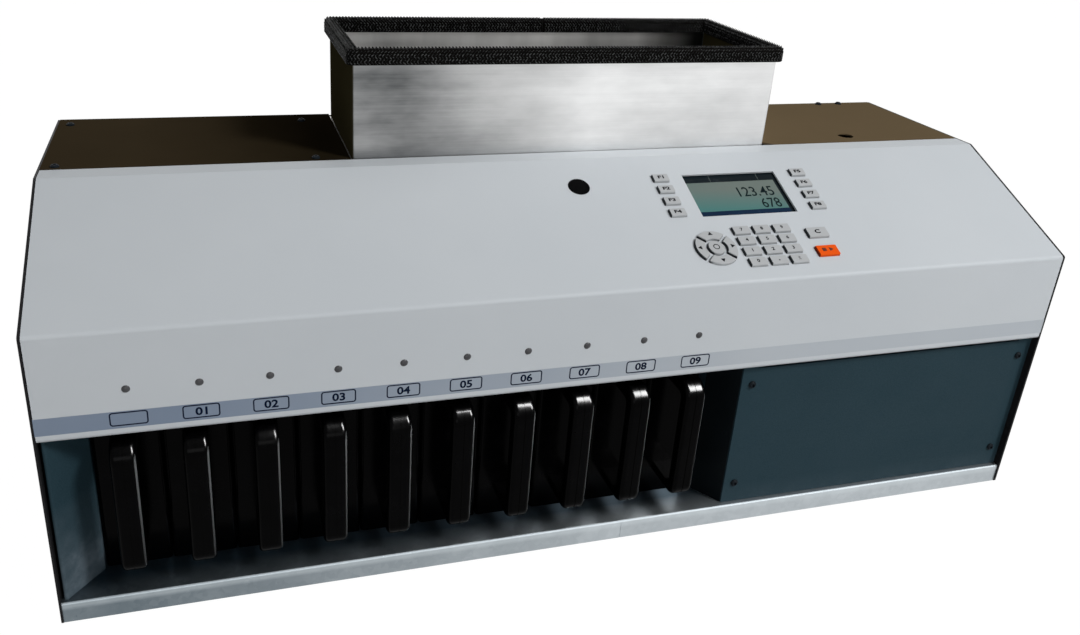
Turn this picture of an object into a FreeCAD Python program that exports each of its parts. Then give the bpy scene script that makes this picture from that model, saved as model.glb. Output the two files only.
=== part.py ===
import FreeCAD, Part
import math
import os
from FreeCAD import Vector

# Coin sorting machine: a hopper and feed belt drop coins on a turning disc, which sends them
# along a track of growing slots into ten pull-out coin boxes under a hinged, keyed cover.
# Working axes: X to the right, Y to the back from the cover's front face, Z up from the base.
# save() moves every piece so that the origin is at the middle of the feet's footprint.

# ---- housing ----
WIDTH = 1060.0
DEPTH = 378.0
HEIGHT = 376.4
SIDE_T = 2.0
SHEET_T = 1.5
COVER_T = 2.0
COVER_BEND_R = 4.5
SIDE_CORNER_R = 2.5
FLOOR_Z = 21.8
LIP_Y = 1.4
LIP_BEND_R = 2.5
LIP_SEAM_X = 30.5
LIP_SEAM = (0.8, 0.4)
FOOT_H = 5.0
FOOT_R = 15.0
FOOT_INSET = 60.0

# ---- hinged front cover ----
COVER_BOTTOM_Z = 197.1
COVER_BEND_Z = 299.2
SLOPE_TOP_Y = 173.3
COVER_REAR_Y = 197.5
COVER_FLANGE = 14.0
COVER_GAP = 0.6
HINGE_SETBACK = 8.5
HINGE_DROP = 5.4
HINGE_EAR = (14.0, 8.0, 11.0)
HINGE_PIN_R = 3.0
RUNNING_FIT = 0.05
TOP_SEAM = 2.0
HINGE_Y = COVER_REAR_Y - HINGE_SETBACK
HINGE_Z = HEIGHT - HINGE_DROP
SLOPE_DEG = math.degrees(math.atan2(HEIGHT - COVER_BEND_Z, SLOPE_TOP_Y))

# ---- keys, display, lamps: x across, d up the slope from the front bend ----
KEY_PROUD = 3.0
KEY_TRAVEL_ROOM = 0.3
KEY_FLANGE_T = 1.2
KEY_FLANGE_W = 0.9
KEY_HOLE_GAP = 0.4
KEY_CHAMFER = 0.6
KEY_CORNER_R = 1.4
FUNCTION_KEY = (18.6, 10.8)
FUNCTION_KEY_X = (95.9, 264.6)
FUNCTION_KEY_TOP_D = 151.8
FUNCTION_KEY_PITCH = 17.65
NUMBER_KEY = (19.6, 10.8)
NUMBER_KEY_X0 = 156.5
NUMBER_KEY_D0 = 23.7
NUMBER_KEY_PITCH = (23.86, 14.75)
NUMBER_KEY_ROWS = (("digit_0_key", "point_key", "sign_key"),
                   ("digit_1_key", "digit_2_key", "digit_3_key"),
                   ("digit_4_key", "digit_5_key", "digit_6_key"),
                   ("digit_7_key", "digit_8_key", "digit_9_key"))
ACTION_KEY = (24.8, 13.6)
CLEAR_KEY = (243.0, 58.5)
START_KEY = (242.2, 32.3)
RING_CENTRE = (118.5, 46.1)
RING_R = (12.1, 22.8)
RING_SLIT = 3.4
OK_KEY_R = 9.1
RING_KEYS = (("nav_right_key", 0.0), ("nav_up_key", 90.0),
             ("nav_left_key", 180.0), ("nav_down_key", 270.0))
DISPLAY = (123.2, 92.2, 237.1, 156.8)
DISPLAY_RIM = 5.0
DISPLAY_T = 8.0
DISPLAY_RECESS = 1.0
PLUG_D = 145.6
PLUG_R = 11.8
PLUG_BARREL_R = 9.5
PLUG_HEAD = 1.0
PLUG_WALL = 1.5
PLUG_REACH = 4.0
LAMP_Z = 243.5
LAMP_R = 3.6
LAMP_STEM_R = 3.0
LAMP_DOME_R = 4.7
LAMP_INSET = 76.0
LAMP_PITCH = 60.15

# ---- coin boxes ----
BOX_COUNT = 10
BOX_INSET = 67.2
BOX_PITCH = 61.75
BOX_GAP = 1.15
BOX_FACE_Y = 45.0
BOX_LENGTH = 290.0
BOX_TOP_Z = 189.0
BOX_WALL = 2.0
BOX_CORNER_R = 4.0
BOX_LIFT = 0.3
HANDLE_W = 22.5
HANDLE_FRONT_Y = -5.0
HANDLE_BAR = 12.0
HANDLE_BOTTOM_Z = 48.0
HANDLE_TOP_Z = 186.8
HANDLE_ARM_TOP = 14.0
HANDLE_ARM_BOTTOM = 13.0
HANDLE_TOP_R = 18.0
HANDLE_BOTTOM_R = 13.0
HANDLE_INNER_R = 7.0
HANDLE_EDGE_R = 4.5
HANDLE_GROOVE = (0.9, 0.5)

# ---- bay and service panel ----
CHEEK_TOP_Z = 195.0
CHEEK_BACK_Y = 350.0
CHEEK_BEND_Y = 42.0
CHEEK_CLEARANCE = (1.2, 6.15)
CHEEK_RETURN = 11.0
CHEEK_EDGE = (0.9, 2.2)
LEFT_CHEEK_FRONT_Y = 3.0
SPLAY = 22.4
PANEL_Y = 8.0
PANEL_TOP_Z = 191.9
PANEL_TAB = (18.0, 3.1)
PANEL_GAP = 0.4
PANEL_FLANGE = 26.0
PANEL_SCREW_INSET = (12.8, 14.0)
PANEL_SCREWS_Z = (47.0, 172.8)
SCREW_HEAD_R = 4.2
SCREW_HEAD_H = 2.6
SCREW_CROWN = 1.5
SCREW_R = 2.4
SCREW_LENGTH = 8.0
SCREW_SOCKET = (1.9, 1.4)
SCREW_HOLE_DEPTH = 9.0

# ---- hopper and feed ----
HOPPER_X = (-228.0, 255.0)
HOPPER_REAR_GAP = 3.5
HOPPER_T = 1.2
HOPPER_CORNER_R = 2.6
HOPPER_RISE = 110.6
HOPPER_SKIRT_DROP = 46.4
HOPPER_OUTLET_DROP = 2.0
HOPPER_FLANGE = 17.0
BRACKET_RUN = 14.0
TRIM_OVER_RIM = 4.0
TRIM_H = 16.0
TRIM_OUT = 6.0
TRIM_IN = 5.0
TRIM_R = 4.5
TRIM_CORNER_R = (9.0, 3.0)
TRIM_SEAM = (30.0, 0.8)
ROLLER_INSET = (24.0, 12.0)
ROLLER_DROP = 30.4
ROLLER_R = 18.0
ROLLER_SHAFT_R = 5.0
ROLLER_END_GAP = 3.0
ROLLER_SIDE_PLAY = 0.1
SHAFT_FLAT = 1.0
BELT_T = 2.0
BELT_FIT = 0.3

# ---- sorting deck ----
DECK_Z = 250.0
DECK_T = 4.0
DECK_Y = (40.0, 355.0)
DISC_INSET = 148.0
DISC_Y = 190.0
DISC_R = 120.0
DISC_T = 4.0
DISC_LIFT = 1.0
DISC_SHAFT_R = 6.0
DISC_SHAFT_TAIL = 20.0
DISC_HUB = (34.0, 14.0, 16.0)
DISC_RIBS = 6
DISC_RIB = (30.0, 4.0, 1.5)
RING_WALL_GAP = 4.0
RING_WALL_T = 3.0
RING_WALL_H = 24.0
GATE_W = 34.0
RAIL_T = 6.0
RAIL_H = 10.0
RAIL_END = 20.0
SLOT_EDGE = 1.0
SLOT_CORNER_R = 4.0
SLOT_LENGTH = 34.0
SLOT_WIDTHS = (34.0, 30.0, 28.4, 26.8, 25.2, 23.6, 22.0, 20.4, 18.8, 17.2)
MOTOR_R = 32.0
MOTOR_H = 90.0
MOTOR_BORE = (7.0, 24.0)
CHUTE_BOTTOM_Z = 196.0
CHUTE_T = 1.5
CHUTE_X = 50.0
CHUTE_Y = (52.0, 112.0)
CHUTE_TAPER = 4.0

# ---- back panel ----
VENT_COUNT = 8
VENT = (90.0, 4.0)
VENT_PITCH = 10.0
VENT_INSET = (200.0, 230.0)
VENT_Z = 120.0
INLET_INSET = 88.0
INLET_Z = 66.0
INLET_BODY = (28.0, 24.0, 22.0)
INLET_FLANGE = (48.0, 2.0, 28.0)
INLET_MOUTH = (24.0, 16.0, 18.0)
INLET_MOUTH_CUT = 5.0
INLET_PIN = (2.0, 14.0, 4.0)
INLET_PIN_PITCH = (7.0, 4.0)
SWITCH_Z = 112.0
SWITCH_CASE = (17.0, 18.0, 24.0)
SWITCH_FRAME = (21.0, 1.5, 28.0)
SWITCH_ROOM = (0.5, 12.0)
ROCKER = (14.0, 20.0)
ROCKER_PIVOT = 3.0
ROCKER_TILT = 8.0

# ---- roof ----
TOP_HOLE_INSET = (143.0, 24.5)
TOP_HOLE_R = 9.5
ROOF_GAP = 2.0
ROOF_NOTCH = 12.0
ROOF_FLANGE = 23.0
ROOF_SCREW_INSET = 13.0
ROOF_SCREW_FRONT = 7.0
ROOF_SCREW_BACK = (24.0, 28.0)
LEFT_SCREW_RUN = 37.0
RIGHT_SCREW_INSET = (84.3, 52.5)
RIGHT_SCREW_BACK = 6.5

# ---- values that follow from the ones above ----
INNER_X = WIDTH / 2 - SIDE_T
TOP_UNDER_Z = HEIGHT - SHEET_T
ROOF_FRONT_Y = COVER_REAR_Y + TOP_SEAM
BOX_X0 = BOX_INSET - INNER_X
LAMP_X0 = LAMP_INSET - INNER_X
BOX_ROW_END = BOX_X0 + BOX_PITCH * (BOX_COUNT - 1) + (BOX_PITCH - BOX_GAP) / 2
RIGHT_CHEEK_X = BOX_ROW_END + CHEEK_CLEARANCE[1]
PANEL_X0 = RIGHT_CHEEK_X + SPLAY
PANEL_SCREWS_X = (PANEL_X0 + PANEL_SCREW_INSET[0], INNER_X - PANEL_SCREW_INSET[1])
HOPPER_Y = (ROOF_FRONT_Y, DEPTH - HOPPER_REAR_GAP)
HOPPER_RIM_Z = HEIGHT + HOPPER_RISE
HOPPER_SKIRT_Z = HEIGHT - HOPPER_SKIRT_DROP
HOPPER_OUTLET_Z = HEIGHT - HOPPER_OUTLET_DROP
TRIM_Z = (HOPPER_RIM_Z + TRIM_OVER_RIM - TRIM_H, HOPPER_RIM_Z + TRIM_OVER_RIM)
ROLLER_X = (HOPPER_X[0] + ROLLER_INSET[0], HOPPER_X[1] - ROLLER_INSET[1])
ROLLER_Z = HEIGHT - ROLLER_DROP
DISC_X = INNER_X - DISC_INSET
RING_WALL_R = DISC_R + RING_WALL_GAP
RAIL_Y = DISC_Y - DISC_R
INLET_X = INNER_X - INLET_INSET
VENT_X = (VENT_INSET[0] - INNER_X, INNER_X - VENT_INSET[1])
LEFT_SCREWS_X = (ROOF_SCREW_INSET - INNER_X, HOPPER_X[0] - LEFT_SCREW_RUN)
FRONT_Y = HANDLE_FRONT_Y
BACK_Y = HOPPER_Y[1] + TRIM_OUT
ORIGIN_SHIFT = Vector(0, -(FRONT_Y + BACK_Y) / 2, FOOT_H)


def box(x0, y0, z0, x1, y1, z1):
    return Part.makeBox(x1 - x0, y1 - y0, z1 - z0, Vector(x0, y0, z0))


def cylinder(radius, start, end):
    axis = end - start
    return Part.makeCylinder(radius, axis.Length, start, axis)


def fuse(shapes):
    first, *others = shapes
    return first.multiFuse(others).removeSplitter() if others else first


def rounded_wire(points, radii, place):
    """Closed wire through 2-D points, each corner rounded by its own radius."""
    flat = [Vector(p[0], p[1], 0) for p in points]
    stations = []
    for index, corner in enumerate(flat):
        radius = radii[index]
        to_last = (flat[index - 1] - corner).normalize()
        to_next = (flat[(index + 1) % len(flat)] - corner).normalize()
        if radius <= 0:
            stations.append((corner, None, corner))
            continue
        half = to_last.getAngle(to_next) / 2
        middle = (to_last + to_next).normalize()
        reach = radius / math.tan(half)
        centre = corner + middle * (radius / math.sin(half))
        stations.append((corner + to_last * reach, centre - middle * radius, corner + to_next * reach))
    edges = []
    for index, (start, mid, end) in enumerate(stations):
        if mid is not None:
            edges.append(Part.Arc(place(start), place(mid), place(end)).toShape())
        follower = stations[(index + 1) % len(stations)][0]
        if (follower - end).Length > 1e-6:
            edges.append(Part.LineSegment(place(end), place(follower)).toShape())
    return Part.Wire(edges)


def prism(points, radii, place, direction):
    radii = radii if isinstance(radii, (list, tuple)) else [radii] * len(points)
    return Part.Face(rounded_wire(points, radii, place)).extrude(direction)


def side_view(x):
    return lambda p: Vector(x, p.x, p.y)


def plan_view(z):
    return lambda p: Vector(p.x, p.y, z)


def front_view(y):
    return lambda p: Vector(p.x, y, p.y)


def bent_sheet(points, thickness, radius, place, direction, side=1):
    """Sheet along a 2-D line; side 1 adds the thickness on the right of travel, -1 on the left."""
    line = [Vector(p[0], p[1], 0) for p in points]
    normals = []
    for start, end in zip(line, line[1:]):
        run = (end - start).normalize()
        normals.append(Vector(run.y, -run.x, 0) * side)
    inner = [line[0] + normals[0] * thickness]
    inner_radii = [0]
    outer_radii = [0]
    for index in range(1, len(line) - 1):
        before, after = normals[index - 1], normals[index]
        mitre = (before + after) * (thickness / (1 + before.dot(after)))
        inner.append(line[index] + mitre)
        turn = before.cross(after).z * side
        outer_radii.append(radius if turn < 0 else max(radius - thickness, 0.5))
        inner_radii.append(max(radius - thickness, 0.5) if turn < 0 else radius)
    inner.append(line[-1] + normals[-1] * thickness)
    inner_radii.append(0)
    outer_radii.append(0)
    outline = [(p.x, p.y) for p in line] + [(p.x, p.y) for p in reversed(inner)]
    return prism(outline, outer_radii + inner_radii[::-1], place, direction)


def on_slope(shape):
    """Turn a shape drawn in (x, d, height) axes into its place on the sloped face."""
    shape.rotate(Vector(0, 0, 0), Vector(1, 0, 0), SLOPE_DEG)
    shape.translate(Vector(0, 0, COVER_BEND_Z))
    return shape


def rounded_rectangle(x0, y0, x1, y1, z0, z1, radius):
    corners = [(x0, y0), (x1, y0), (x1, y1), (x0, y1)]
    return prism(corners, radius, plan_view(z0), Vector(0, 0, z1 - z0))


def centred_box(x, z, size, y):
    """Box of (width, depth, height) with its middle at x, z and its back face on y."""
    width, depth, height = size
    return box(x - width / 2, y - depth, z - height / 2, x + width / 2, y, z + height / 2)


def box_x(index):
    return BOX_X0 + BOX_PITCH * index


# ---------------------------------------------------------------- keys

def key_solid(outline):
    """Key cap with a chamfered top, and the flange under the sheet that keeps it in."""
    flange_top = -COVER_T - KEY_TRAVEL_ROOM
    cap = outline(flange_top - KEY_FLANGE_T, KEY_PROUD, 0)
    top_edges = [e for e in cap.Edges if all(abs(v.Z - KEY_PROUD) < 1e-6 for v in e.Vertexes)]
    cap = cap.makeChamfer(KEY_CHAMFER, top_edges)
    flange = outline(flange_top - KEY_FLANGE_T, flange_top, KEY_FLANGE_W)
    return fuse([cap, flange])


def rectangle_outline(x, d, size):
    def build(low, high, grow):
        half_x = size[0] / 2 + grow
        half_d = size[1] / 2 + grow
        return rounded_rectangle(x - half_x, d - half_d, x + half_x, d + half_d, low, high, KEY_CORNER_R)
    return build


def round_outline(x, d, radius):
    def build(low, high, grow):
        return cylinder(radius + grow, Vector(x, d, low), Vector(x, d, high))
    return build


def arc_outline(angle):
    """One quarter of the direction ring; its straight ends keep an even slit to the next."""
    def build(low, high, grow):
        cx, cd = RING_CENTRE
        ring = cylinder(RING_R[1] + grow, Vector(cx, cd, low), Vector(cx, cd, high))
        ring = ring.cut(cylinder(RING_R[0] - grow, Vector(cx, cd, low), Vector(cx, cd, high)))
        reach = RING_R[1] * 2
        tip = (RING_SLIT / 2 - grow) * math.sqrt(2)
        wedge = prism([(cx + tip, cd), (cx + reach + tip, cd - reach), (cx + reach + tip, cd + reach)],
                      0, plan_view(low), Vector(0, 0, high - low))
        wedge.rotate(Vector(cx, cd, 0), Vector(0, 0, 1), angle)
        return ring.common(wedge)
    return build


def key_outlines():
    """Every key's outline builder, by node name."""
    outlines = {}
    for side, x in zip(("left", "right"), FUNCTION_KEY_X):
        for row in range(4):
            d = FUNCTION_KEY_TOP_D - FUNCTION_KEY_PITCH * row
            outlines[f"{side}_function_key_{row + 1}"] = rectangle_outline(x, d, FUNCTION_KEY)
    for row, names in enumerate(NUMBER_KEY_ROWS):
        for column, name in enumerate(names):
            x = NUMBER_KEY_X0 + NUMBER_KEY_PITCH[0] * column
            d = NUMBER_KEY_D0 + NUMBER_KEY_PITCH[1] * row
            outlines[name] = rectangle_outline(x, d, NUMBER_KEY)
    outlines["clear_key"] = rectangle_outline(*CLEAR_KEY, ACTION_KEY)
    outlines["start_key"] = rectangle_outline(*START_KEY, ACTION_KEY)
    for name, angle in RING_KEYS:
        outlines[name] = arc_outline(angle)
    outlines["ok_key"] = round_outline(*RING_CENTRE, OK_KEY_R)
    return outlines


# ---------------------------------------------------------------- hinged cover

def cover_openings():
    low, high = -COVER_T - 1, 1
    holes = [outline(low, high, KEY_HOLE_GAP) for outline in key_outlines().values()]
    x0, d0, x1, d1 = DISPLAY
    holes.append(box(x0, d0, low, x1, d1, high))
    holes.append(cylinder(PLUG_BARREL_R, Vector(0, PLUG_D, low), Vector(0, PLUG_D, high)))
    holes = [on_slope(hole) for hole in holes]
    for index in range(BOX_COUNT):
        x = LAMP_X0 + LAMP_PITCH * index
        holes.append(cylinder(LAMP_STEM_R, Vector(x, -1, LAMP_Z), Vector(x, COVER_T + 1, LAMP_Z)))
    return holes


def front_cover():
    half = INNER_X - COVER_GAP
    line = [(COVER_FLANGE, COVER_BOTTOM_Z), (0, COVER_BOTTOM_Z), (0, COVER_BEND_Z),
            (SLOPE_TOP_Y, HEIGHT), (COVER_REAR_Y, HEIGHT)]
    sheet = bent_sheet(line, COVER_T, COVER_BEND_R, side_view(-half), Vector(2 * half, 0, 0))
    sheet = sheet.cut(cover_openings())
    pieces = [sheet]
    ear_front, ear_back, ear_drop = HINGE_EAR
    front, back = HINGE_Y - ear_front, HINGE_Y + ear_back
    low, high = HINGE_Z - ear_drop, HEIGHT - COVER_T / 2
    for sign in (-1, 1):
        inner, outer = sorted((sign * (half - SHEET_T), sign * half))
        ear = [(front, low), (back, low), (back, high), (front, high)]
        pieces.append(prism(ear, (5, 5, 0, 0), side_view(inner), Vector(outer - inner, 0, 0)))
        pin_start = Vector(sign * (half - SHEET_T), HINGE_Y, HINGE_Z)
        pin_end = Vector(sign * (WIDTH / 2 - PANEL_GAP), HINGE_Y, HINGE_Z)
        pieces.append(cylinder(HINGE_PIN_R, pin_start, pin_end))
    return fuse(pieces)


def display_module():
    """Screen with its frame, held against the underside of the cover's window."""
    x0, d0, x1, d1 = DISPLAY
    rim = DISPLAY_RIM
    body = box(x0 - rim, d0 - rim, -COVER_T - DISPLAY_T, x1 + rim, d1 + rim, -COVER_T)
    floor = -COVER_T - DISPLAY_RECESS
    recess = box(x0 - 1, d0 - 1, floor, x1 + 1, d1 + 1, -COVER_T + 1)
    return on_slope(body.cut(recess))


def cover_plug():
    head = cylinder(PLUG_R, Vector(0, PLUG_D, 0), Vector(0, PLUG_D, PLUG_HEAD))
    crown = max(head.Edges, key=lambda e: e.CenterOfMass.z)
    head = head.makeChamfer(PLUG_HEAD * 0.6, [crown])
    bottom = Vector(0, PLUG_D, -COVER_T - PLUG_REACH)
    barrel = cylinder(PLUG_BARREL_R, bottom, Vector(0, PLUG_D, 0))
    hollow = cylinder(PLUG_BARREL_R - PLUG_WALL, bottom, Vector(0, PLUG_D, -PLUG_WALL))
    return on_slope(fuse([head, barrel]).cut(hollow))


def indicator_lenses():
    lenses = []
    for index in range(BOX_COUNT):
        x = LAMP_X0 + LAMP_PITCH * index
        stem = cylinder(LAMP_STEM_R, Vector(x, 0, LAMP_Z), Vector(x, 2 * COVER_T, LAMP_Z))
        centre_y = math.sqrt(LAMP_DOME_R ** 2 - LAMP_R ** 2)
        dome = Part.makeSphere(LAMP_DOME_R, Vector(x, centre_y, LAMP_Z))
        dome = dome.common(box(x - LAMP_R, -LAMP_DOME_R, LAMP_Z - LAMP_R, x + LAMP_R, 0, LAMP_Z + LAMP_R))
        lenses.append(fuse([stem, dome]))
    return Part.makeCompound(lenses)


# ---------------------------------------------------------------- coin boxes

def handle_profile(x, width, inset):
    """Side profile of a handle, drawn in by an inset and extruded over a width about x."""
    front, low, high = HANDLE_FRONT_Y + inset, HANDLE_BOTTOM_Z + inset, HANDLE_TOP_Z - inset
    back = BOX_FACE_Y + BOX_WALL / 2
    outer = [(back, low), (front, low), (front, high), (back, high)]
    radii = (0, HANDLE_BOTTOM_R - inset, HANDLE_TOP_R - inset, 0)
    return prism(outer, radii, side_view(x - width / 2), Vector(width, 0, 0))


def box_handle(x):
    """Jug handle with rounded outer edges and the groove of its parting line."""
    grip = handle_profile(x, HANDLE_W, 0)
    wall = BOX_FACE_Y + BOX_WALL / 2
    rounded = [e for e in grip.Edges if e.BoundBox.XLength < 1e-6 and e.BoundBox.YMin < wall - 1e-6]
    grip = grip.makeFillet(HANDLE_EDGE_R, rounded)
    front = HANDLE_FRONT_Y + HANDLE_BAR
    low = HANDLE_BOTTOM_Z + HANDLE_ARM_BOTTOM
    high = HANDLE_TOP_Z - HANDLE_ARM_TOP
    inner = [(BOX_FACE_Y, low), (front, low), (front, high), (BOX_FACE_Y, high)]
    left = x - HANDLE_W / 2 - 1
    gap = prism(inner, (0, HANDLE_INNER_R, HANDLE_INNER_R, 0), side_view(left), Vector(HANDLE_W + 2, 0, 0))
    groove_w, groove_depth = HANDLE_GROOVE
    groove = handle_profile(x, groove_w, 0).cut(handle_profile(x, groove_w, groove_depth))
    behind = box(x - groove_w, BOX_FACE_Y - BOX_WALL, 0, x + groove_w, wall + 1, HEIGHT)
    return grip.cut([gap, groove.cut(behind)])


def coin_box(index):
    x = box_x(index)
    half = (BOX_PITCH - BOX_GAP) / 2
    bottom = FLOOR_Z + BOX_LIFT
    back = BOX_FACE_Y + BOX_LENGTH
    shell = rounded_rectangle(x - half, BOX_FACE_Y, x + half, back, bottom, BOX_TOP_Z, BOX_CORNER_R)
    inside = rounded_rectangle(x - half + BOX_WALL, BOX_FACE_Y + BOX_WALL, x + half - BOX_WALL,
                               back - BOX_WALL, bottom + BOX_WALL, BOX_TOP_Z + 1,
                               BOX_CORNER_R - BOX_WALL)
    return fuse([shell, box_handle(x)]).cut(inside)


# ---------------------------------------------------------------- housing

def base_tray():
    back = DEPTH - SHEET_T
    line = [(LIP_Y, 0), (LIP_Y, FLOOR_Z), (back, FLOOR_Z), (back, 0)]
    pan = bent_sheet(line, SHEET_T, LIP_BEND_R, side_view(-INNER_X), Vector(2 * INNER_X, 0, 0))
    under = FLOOR_Z - SHEET_T / 2
    ends = [box(x, LIP_Y + LIP_BEND_R, 0, x + SHEET_T, back - LIP_BEND_R, under)
            for x in (-INNER_X, INNER_X - SHEET_T)]
    seam_w, seam_depth = LIP_SEAM
    seam = box(LIP_SEAM_X, LIP_Y - 1, -1, LIP_SEAM_X + seam_w, LIP_Y + seam_depth, FLOOR_Z + 1)
    return fuse([pan] + ends).cut(seam)


def side_panel(sign):
    """Flat side with the cover's outline, a top flange for the roof screws and the hinge hole."""
    outline = [(0, 0), (DEPTH, 0), (DEPTH, HEIGHT), (SLOPE_TOP_Y, HEIGHT), (0, COVER_BEND_Z)]
    x = INNER_X if sign > 0 else -WIDTH / 2
    radii = (1.5, 1.5, 1.5, SIDE_CORNER_R, SIDE_CORNER_R)
    panel = prism(outline, radii, side_view(x), Vector(SIDE_T, 0, 0))
    x0, x1 = sorted((sign * (INNER_X - ROOF_FLANGE), sign * INNER_X))
    flanges = [box(x0, ROOF_FRONT_Y, TOP_UNDER_Z - SHEET_T, x1, DEPTH - SHEET_T, TOP_UNDER_Z)]
    if sign > 0:
        behind = PANEL_Y + SHEET_T
        flanges.append(box(x0, behind, FLOOR_Z, x1, behind + SHEET_T, PANEL_TOP_Z))
    pin_hole = cylinder(HINGE_PIN_R + RUNNING_FIT, Vector(x - 1, HINGE_Y, HINGE_Z),
                        Vector(x + SIDE_T + 1, HINGE_Y, HINGE_Z))
    body = fuse([panel] + flanges).cut(pin_hole)
    return body.cut(screw_clearances())


def rear_panel():
    back = DEPTH
    panel = box(-INNER_X, back - SHEET_T, 0, INNER_X, back, TOP_UNDER_Z)
    cuts = []
    for x in VENT_X:
        for row in range(VENT_COUNT):
            z = VENT_Z + VENT_PITCH * row
            slot = [(x, z), (x + VENT[0], z), (x + VENT[0], z + VENT[1]), (x, z + VENT[1])]
            cuts.append(prism(slot, VENT[1] / 2 - 0.05, front_view(back - 3), Vector(0, 6, 0)))
    cuts.append(centred_box(INLET_X, INLET_Z, INLET_BODY, back))
    cuts.append(centred_box(INLET_X, SWITCH_Z, SWITCH_CASE, back))
    return panel.cut(cuts)


def top_covers():
    """Left and right roof sheets beside the hopper; the right one is notched round its corner."""
    left = box(-INNER_X, ROOF_FRONT_Y, TOP_UNDER_Z, HOPPER_X[0] - ROOF_GAP, DEPTH, HEIGHT)
    x0 = HOPPER_X[1] + ROOF_GAP
    right_outline = [(x0 + ROOF_NOTCH, ROOF_FRONT_Y), (INNER_X, ROOF_FRONT_Y), (INNER_X, DEPTH),
                     (x0, DEPTH), (x0, ROOF_FRONT_Y + ROOF_NOTCH)]
    right = prism(right_outline, 0, plan_view(TOP_UNDER_Z), Vector(0, 0, SHEET_T))
    x, y = INNER_X - TOP_HOLE_INSET[0], ROOF_FRONT_Y + TOP_HOLE_INSET[1]
    right = right.cut(cylinder(TOP_HOLE_R, Vector(x, y, TOP_UNDER_Z - 1), Vector(x, y, HEIGHT + 1)))
    return Part.makeCompound([left.cut(screw_clearances()), right.cut(screw_clearances())])


def feet():
    shapes = []
    for x in (-WIDTH / 2 + FOOT_INSET, WIDTH / 2 - FOOT_INSET):
        for y in (FOOT_INSET, DEPTH - FOOT_INSET):
            top = Vector(x, y, FLOOR_Z - SHEET_T)
            post = Part.makeCone(FOOT_R, FOOT_R - 3, top.z + FOOT_H, top, Vector(0, 0, -1))
            shapes.append(post)
    return Part.makeCompound(shapes)


def screw_places():
    """Every visible screw: the point under its head, and the way the head faces."""
    out, up = Vector(0, -1, 0), Vector(0, 0, 1)
    places = [(Vector(x, PANEL_Y, z), out) for x in PANEL_SCREWS_X for z in PANEL_SCREWS_Z]
    for x, back in zip(LEFT_SCREWS_X, ROOF_SCREW_BACK):
        places.append((Vector(x, DEPTH - back, HEIGHT), up))
        places.append((Vector(x, ROOF_FRONT_Y + ROOF_SCREW_FRONT, HEIGHT), up))
    back = DEPTH - RIGHT_SCREW_BACK
    places += [(Vector(INNER_X - inset, back, HEIGHT), up) for inset in RIGHT_SCREW_INSET]
    return places


def screw_clearances():
    return [cylinder(SCREW_R, seat + facing, seat - facing * SCREW_HOLE_DEPTH)
            for seat, facing in screw_places()]


def cover_screws():
    """Socket-head screws: crowned head, six-sided socket and plain shank."""
    screws = []
    socket_r, socket_depth = SCREW_SOCKET
    angles = [math.pi / 3 * step for step in range(7)]
    corners = [Vector(socket_r * math.cos(a), socket_r * math.sin(a), 0) for a in angles]
    for seat, facing in screw_places():
        top = seat + facing * SCREW_HEAD_H
        head = cylinder(SCREW_HEAD_R, seat, top)
        crown = max(head.Edges, key=lambda e: e.CenterOfMass.dot(facing))
        head = head.makeChamfer(SCREW_CROWN, [crown])
        turn = FreeCAD.Rotation(Vector(0, 0, 1), facing)
        socket = Part.Face(Part.makePolygon(corners)).extrude(Vector(0, 0, 2 * socket_depth))
        socket.Placement = FreeCAD.Placement(top - facing * socket_depth, turn)
        shank = cylinder(SCREW_R, seat, seat - facing * SCREW_LENGTH)
        screws.append(fuse([head, shank]).cut(socket))
    return Part.makeCompound(screws)


def service_panel():
    tab_w, tab_h = PANEL_TAB
    right = INNER_X - PANEL_GAP
    bottom = FLOOR_Z + PANEL_GAP
    outline = [(PANEL_X0, bottom), (right, bottom), (right, PANEL_TOP_Z + tab_h),
               (right - tab_w, PANEL_TOP_Z + tab_h), (right - tab_w, PANEL_TOP_Z),
               (PANEL_X0 + tab_w, PANEL_TOP_Z), (PANEL_X0 + tab_w, PANEL_TOP_Z + tab_h),
               (PANEL_X0, PANEL_TOP_Z + tab_h)]
    panel = prism(outline, (1, 1, 2, 2, 0, 0, 2, 2), front_view(PANEL_Y), Vector(0, SHEET_T, 0))
    return panel.cut(screw_clearances())


def bay_cheeks():
    """Angled sheets that lead from the housing's front into the row of coin boxes."""
    height = Vector(0, 0, CHEEK_TOP_Z - FLOOR_Z)
    left_x = BOX_X0 - (BOX_PITCH - BOX_GAP) / 2 - CHEEK_CLEARANCE[0]
    left_line = [(-INNER_X + CHEEK_EDGE[0], LEFT_CHEEK_FRONT_Y + CHEEK_RETURN),
                 (-INNER_X + CHEEK_EDGE[1], LEFT_CHEEK_FRONT_Y),
                 (left_x, CHEEK_BEND_Y), (left_x, CHEEK_BACK_Y)]
    left = bent_sheet(left_line, SHEET_T, 2.5, plan_view(FLOOR_Z), height, side=-1)
    flange_y = PANEL_Y + SHEET_T
    right_line = [(PANEL_X0 + PANEL_FLANGE, flange_y), (PANEL_X0, flange_y),
                  (RIGHT_CHEEK_X, CHEEK_BEND_Y), (RIGHT_CHEEK_X, CHEEK_BACK_Y)]
    right = bent_sheet(right_line, SHEET_T, 2.5, plan_view(FLOOR_Z), height)
    return Part.makeCompound([left, right.cut(screw_clearances())])


# ---------------------------------------------------------------- hopper and feed

def hopper_walls(low, high):
    """The hopper's four walls with their small upright bends."""
    x0, x1 = HOPPER_X
    y0, y1 = HOPPER_Y
    t = HOPPER_T
    inner_r = HOPPER_CORNER_R - t
    outside = rounded_rectangle(x0, y0, x1, y1, low, high, HOPPER_CORNER_R)
    return outside.cut(rounded_rectangle(x0 + t, y0 + t, x1 - t, y1 - t, low - 1, high + 1, inner_r))


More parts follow.
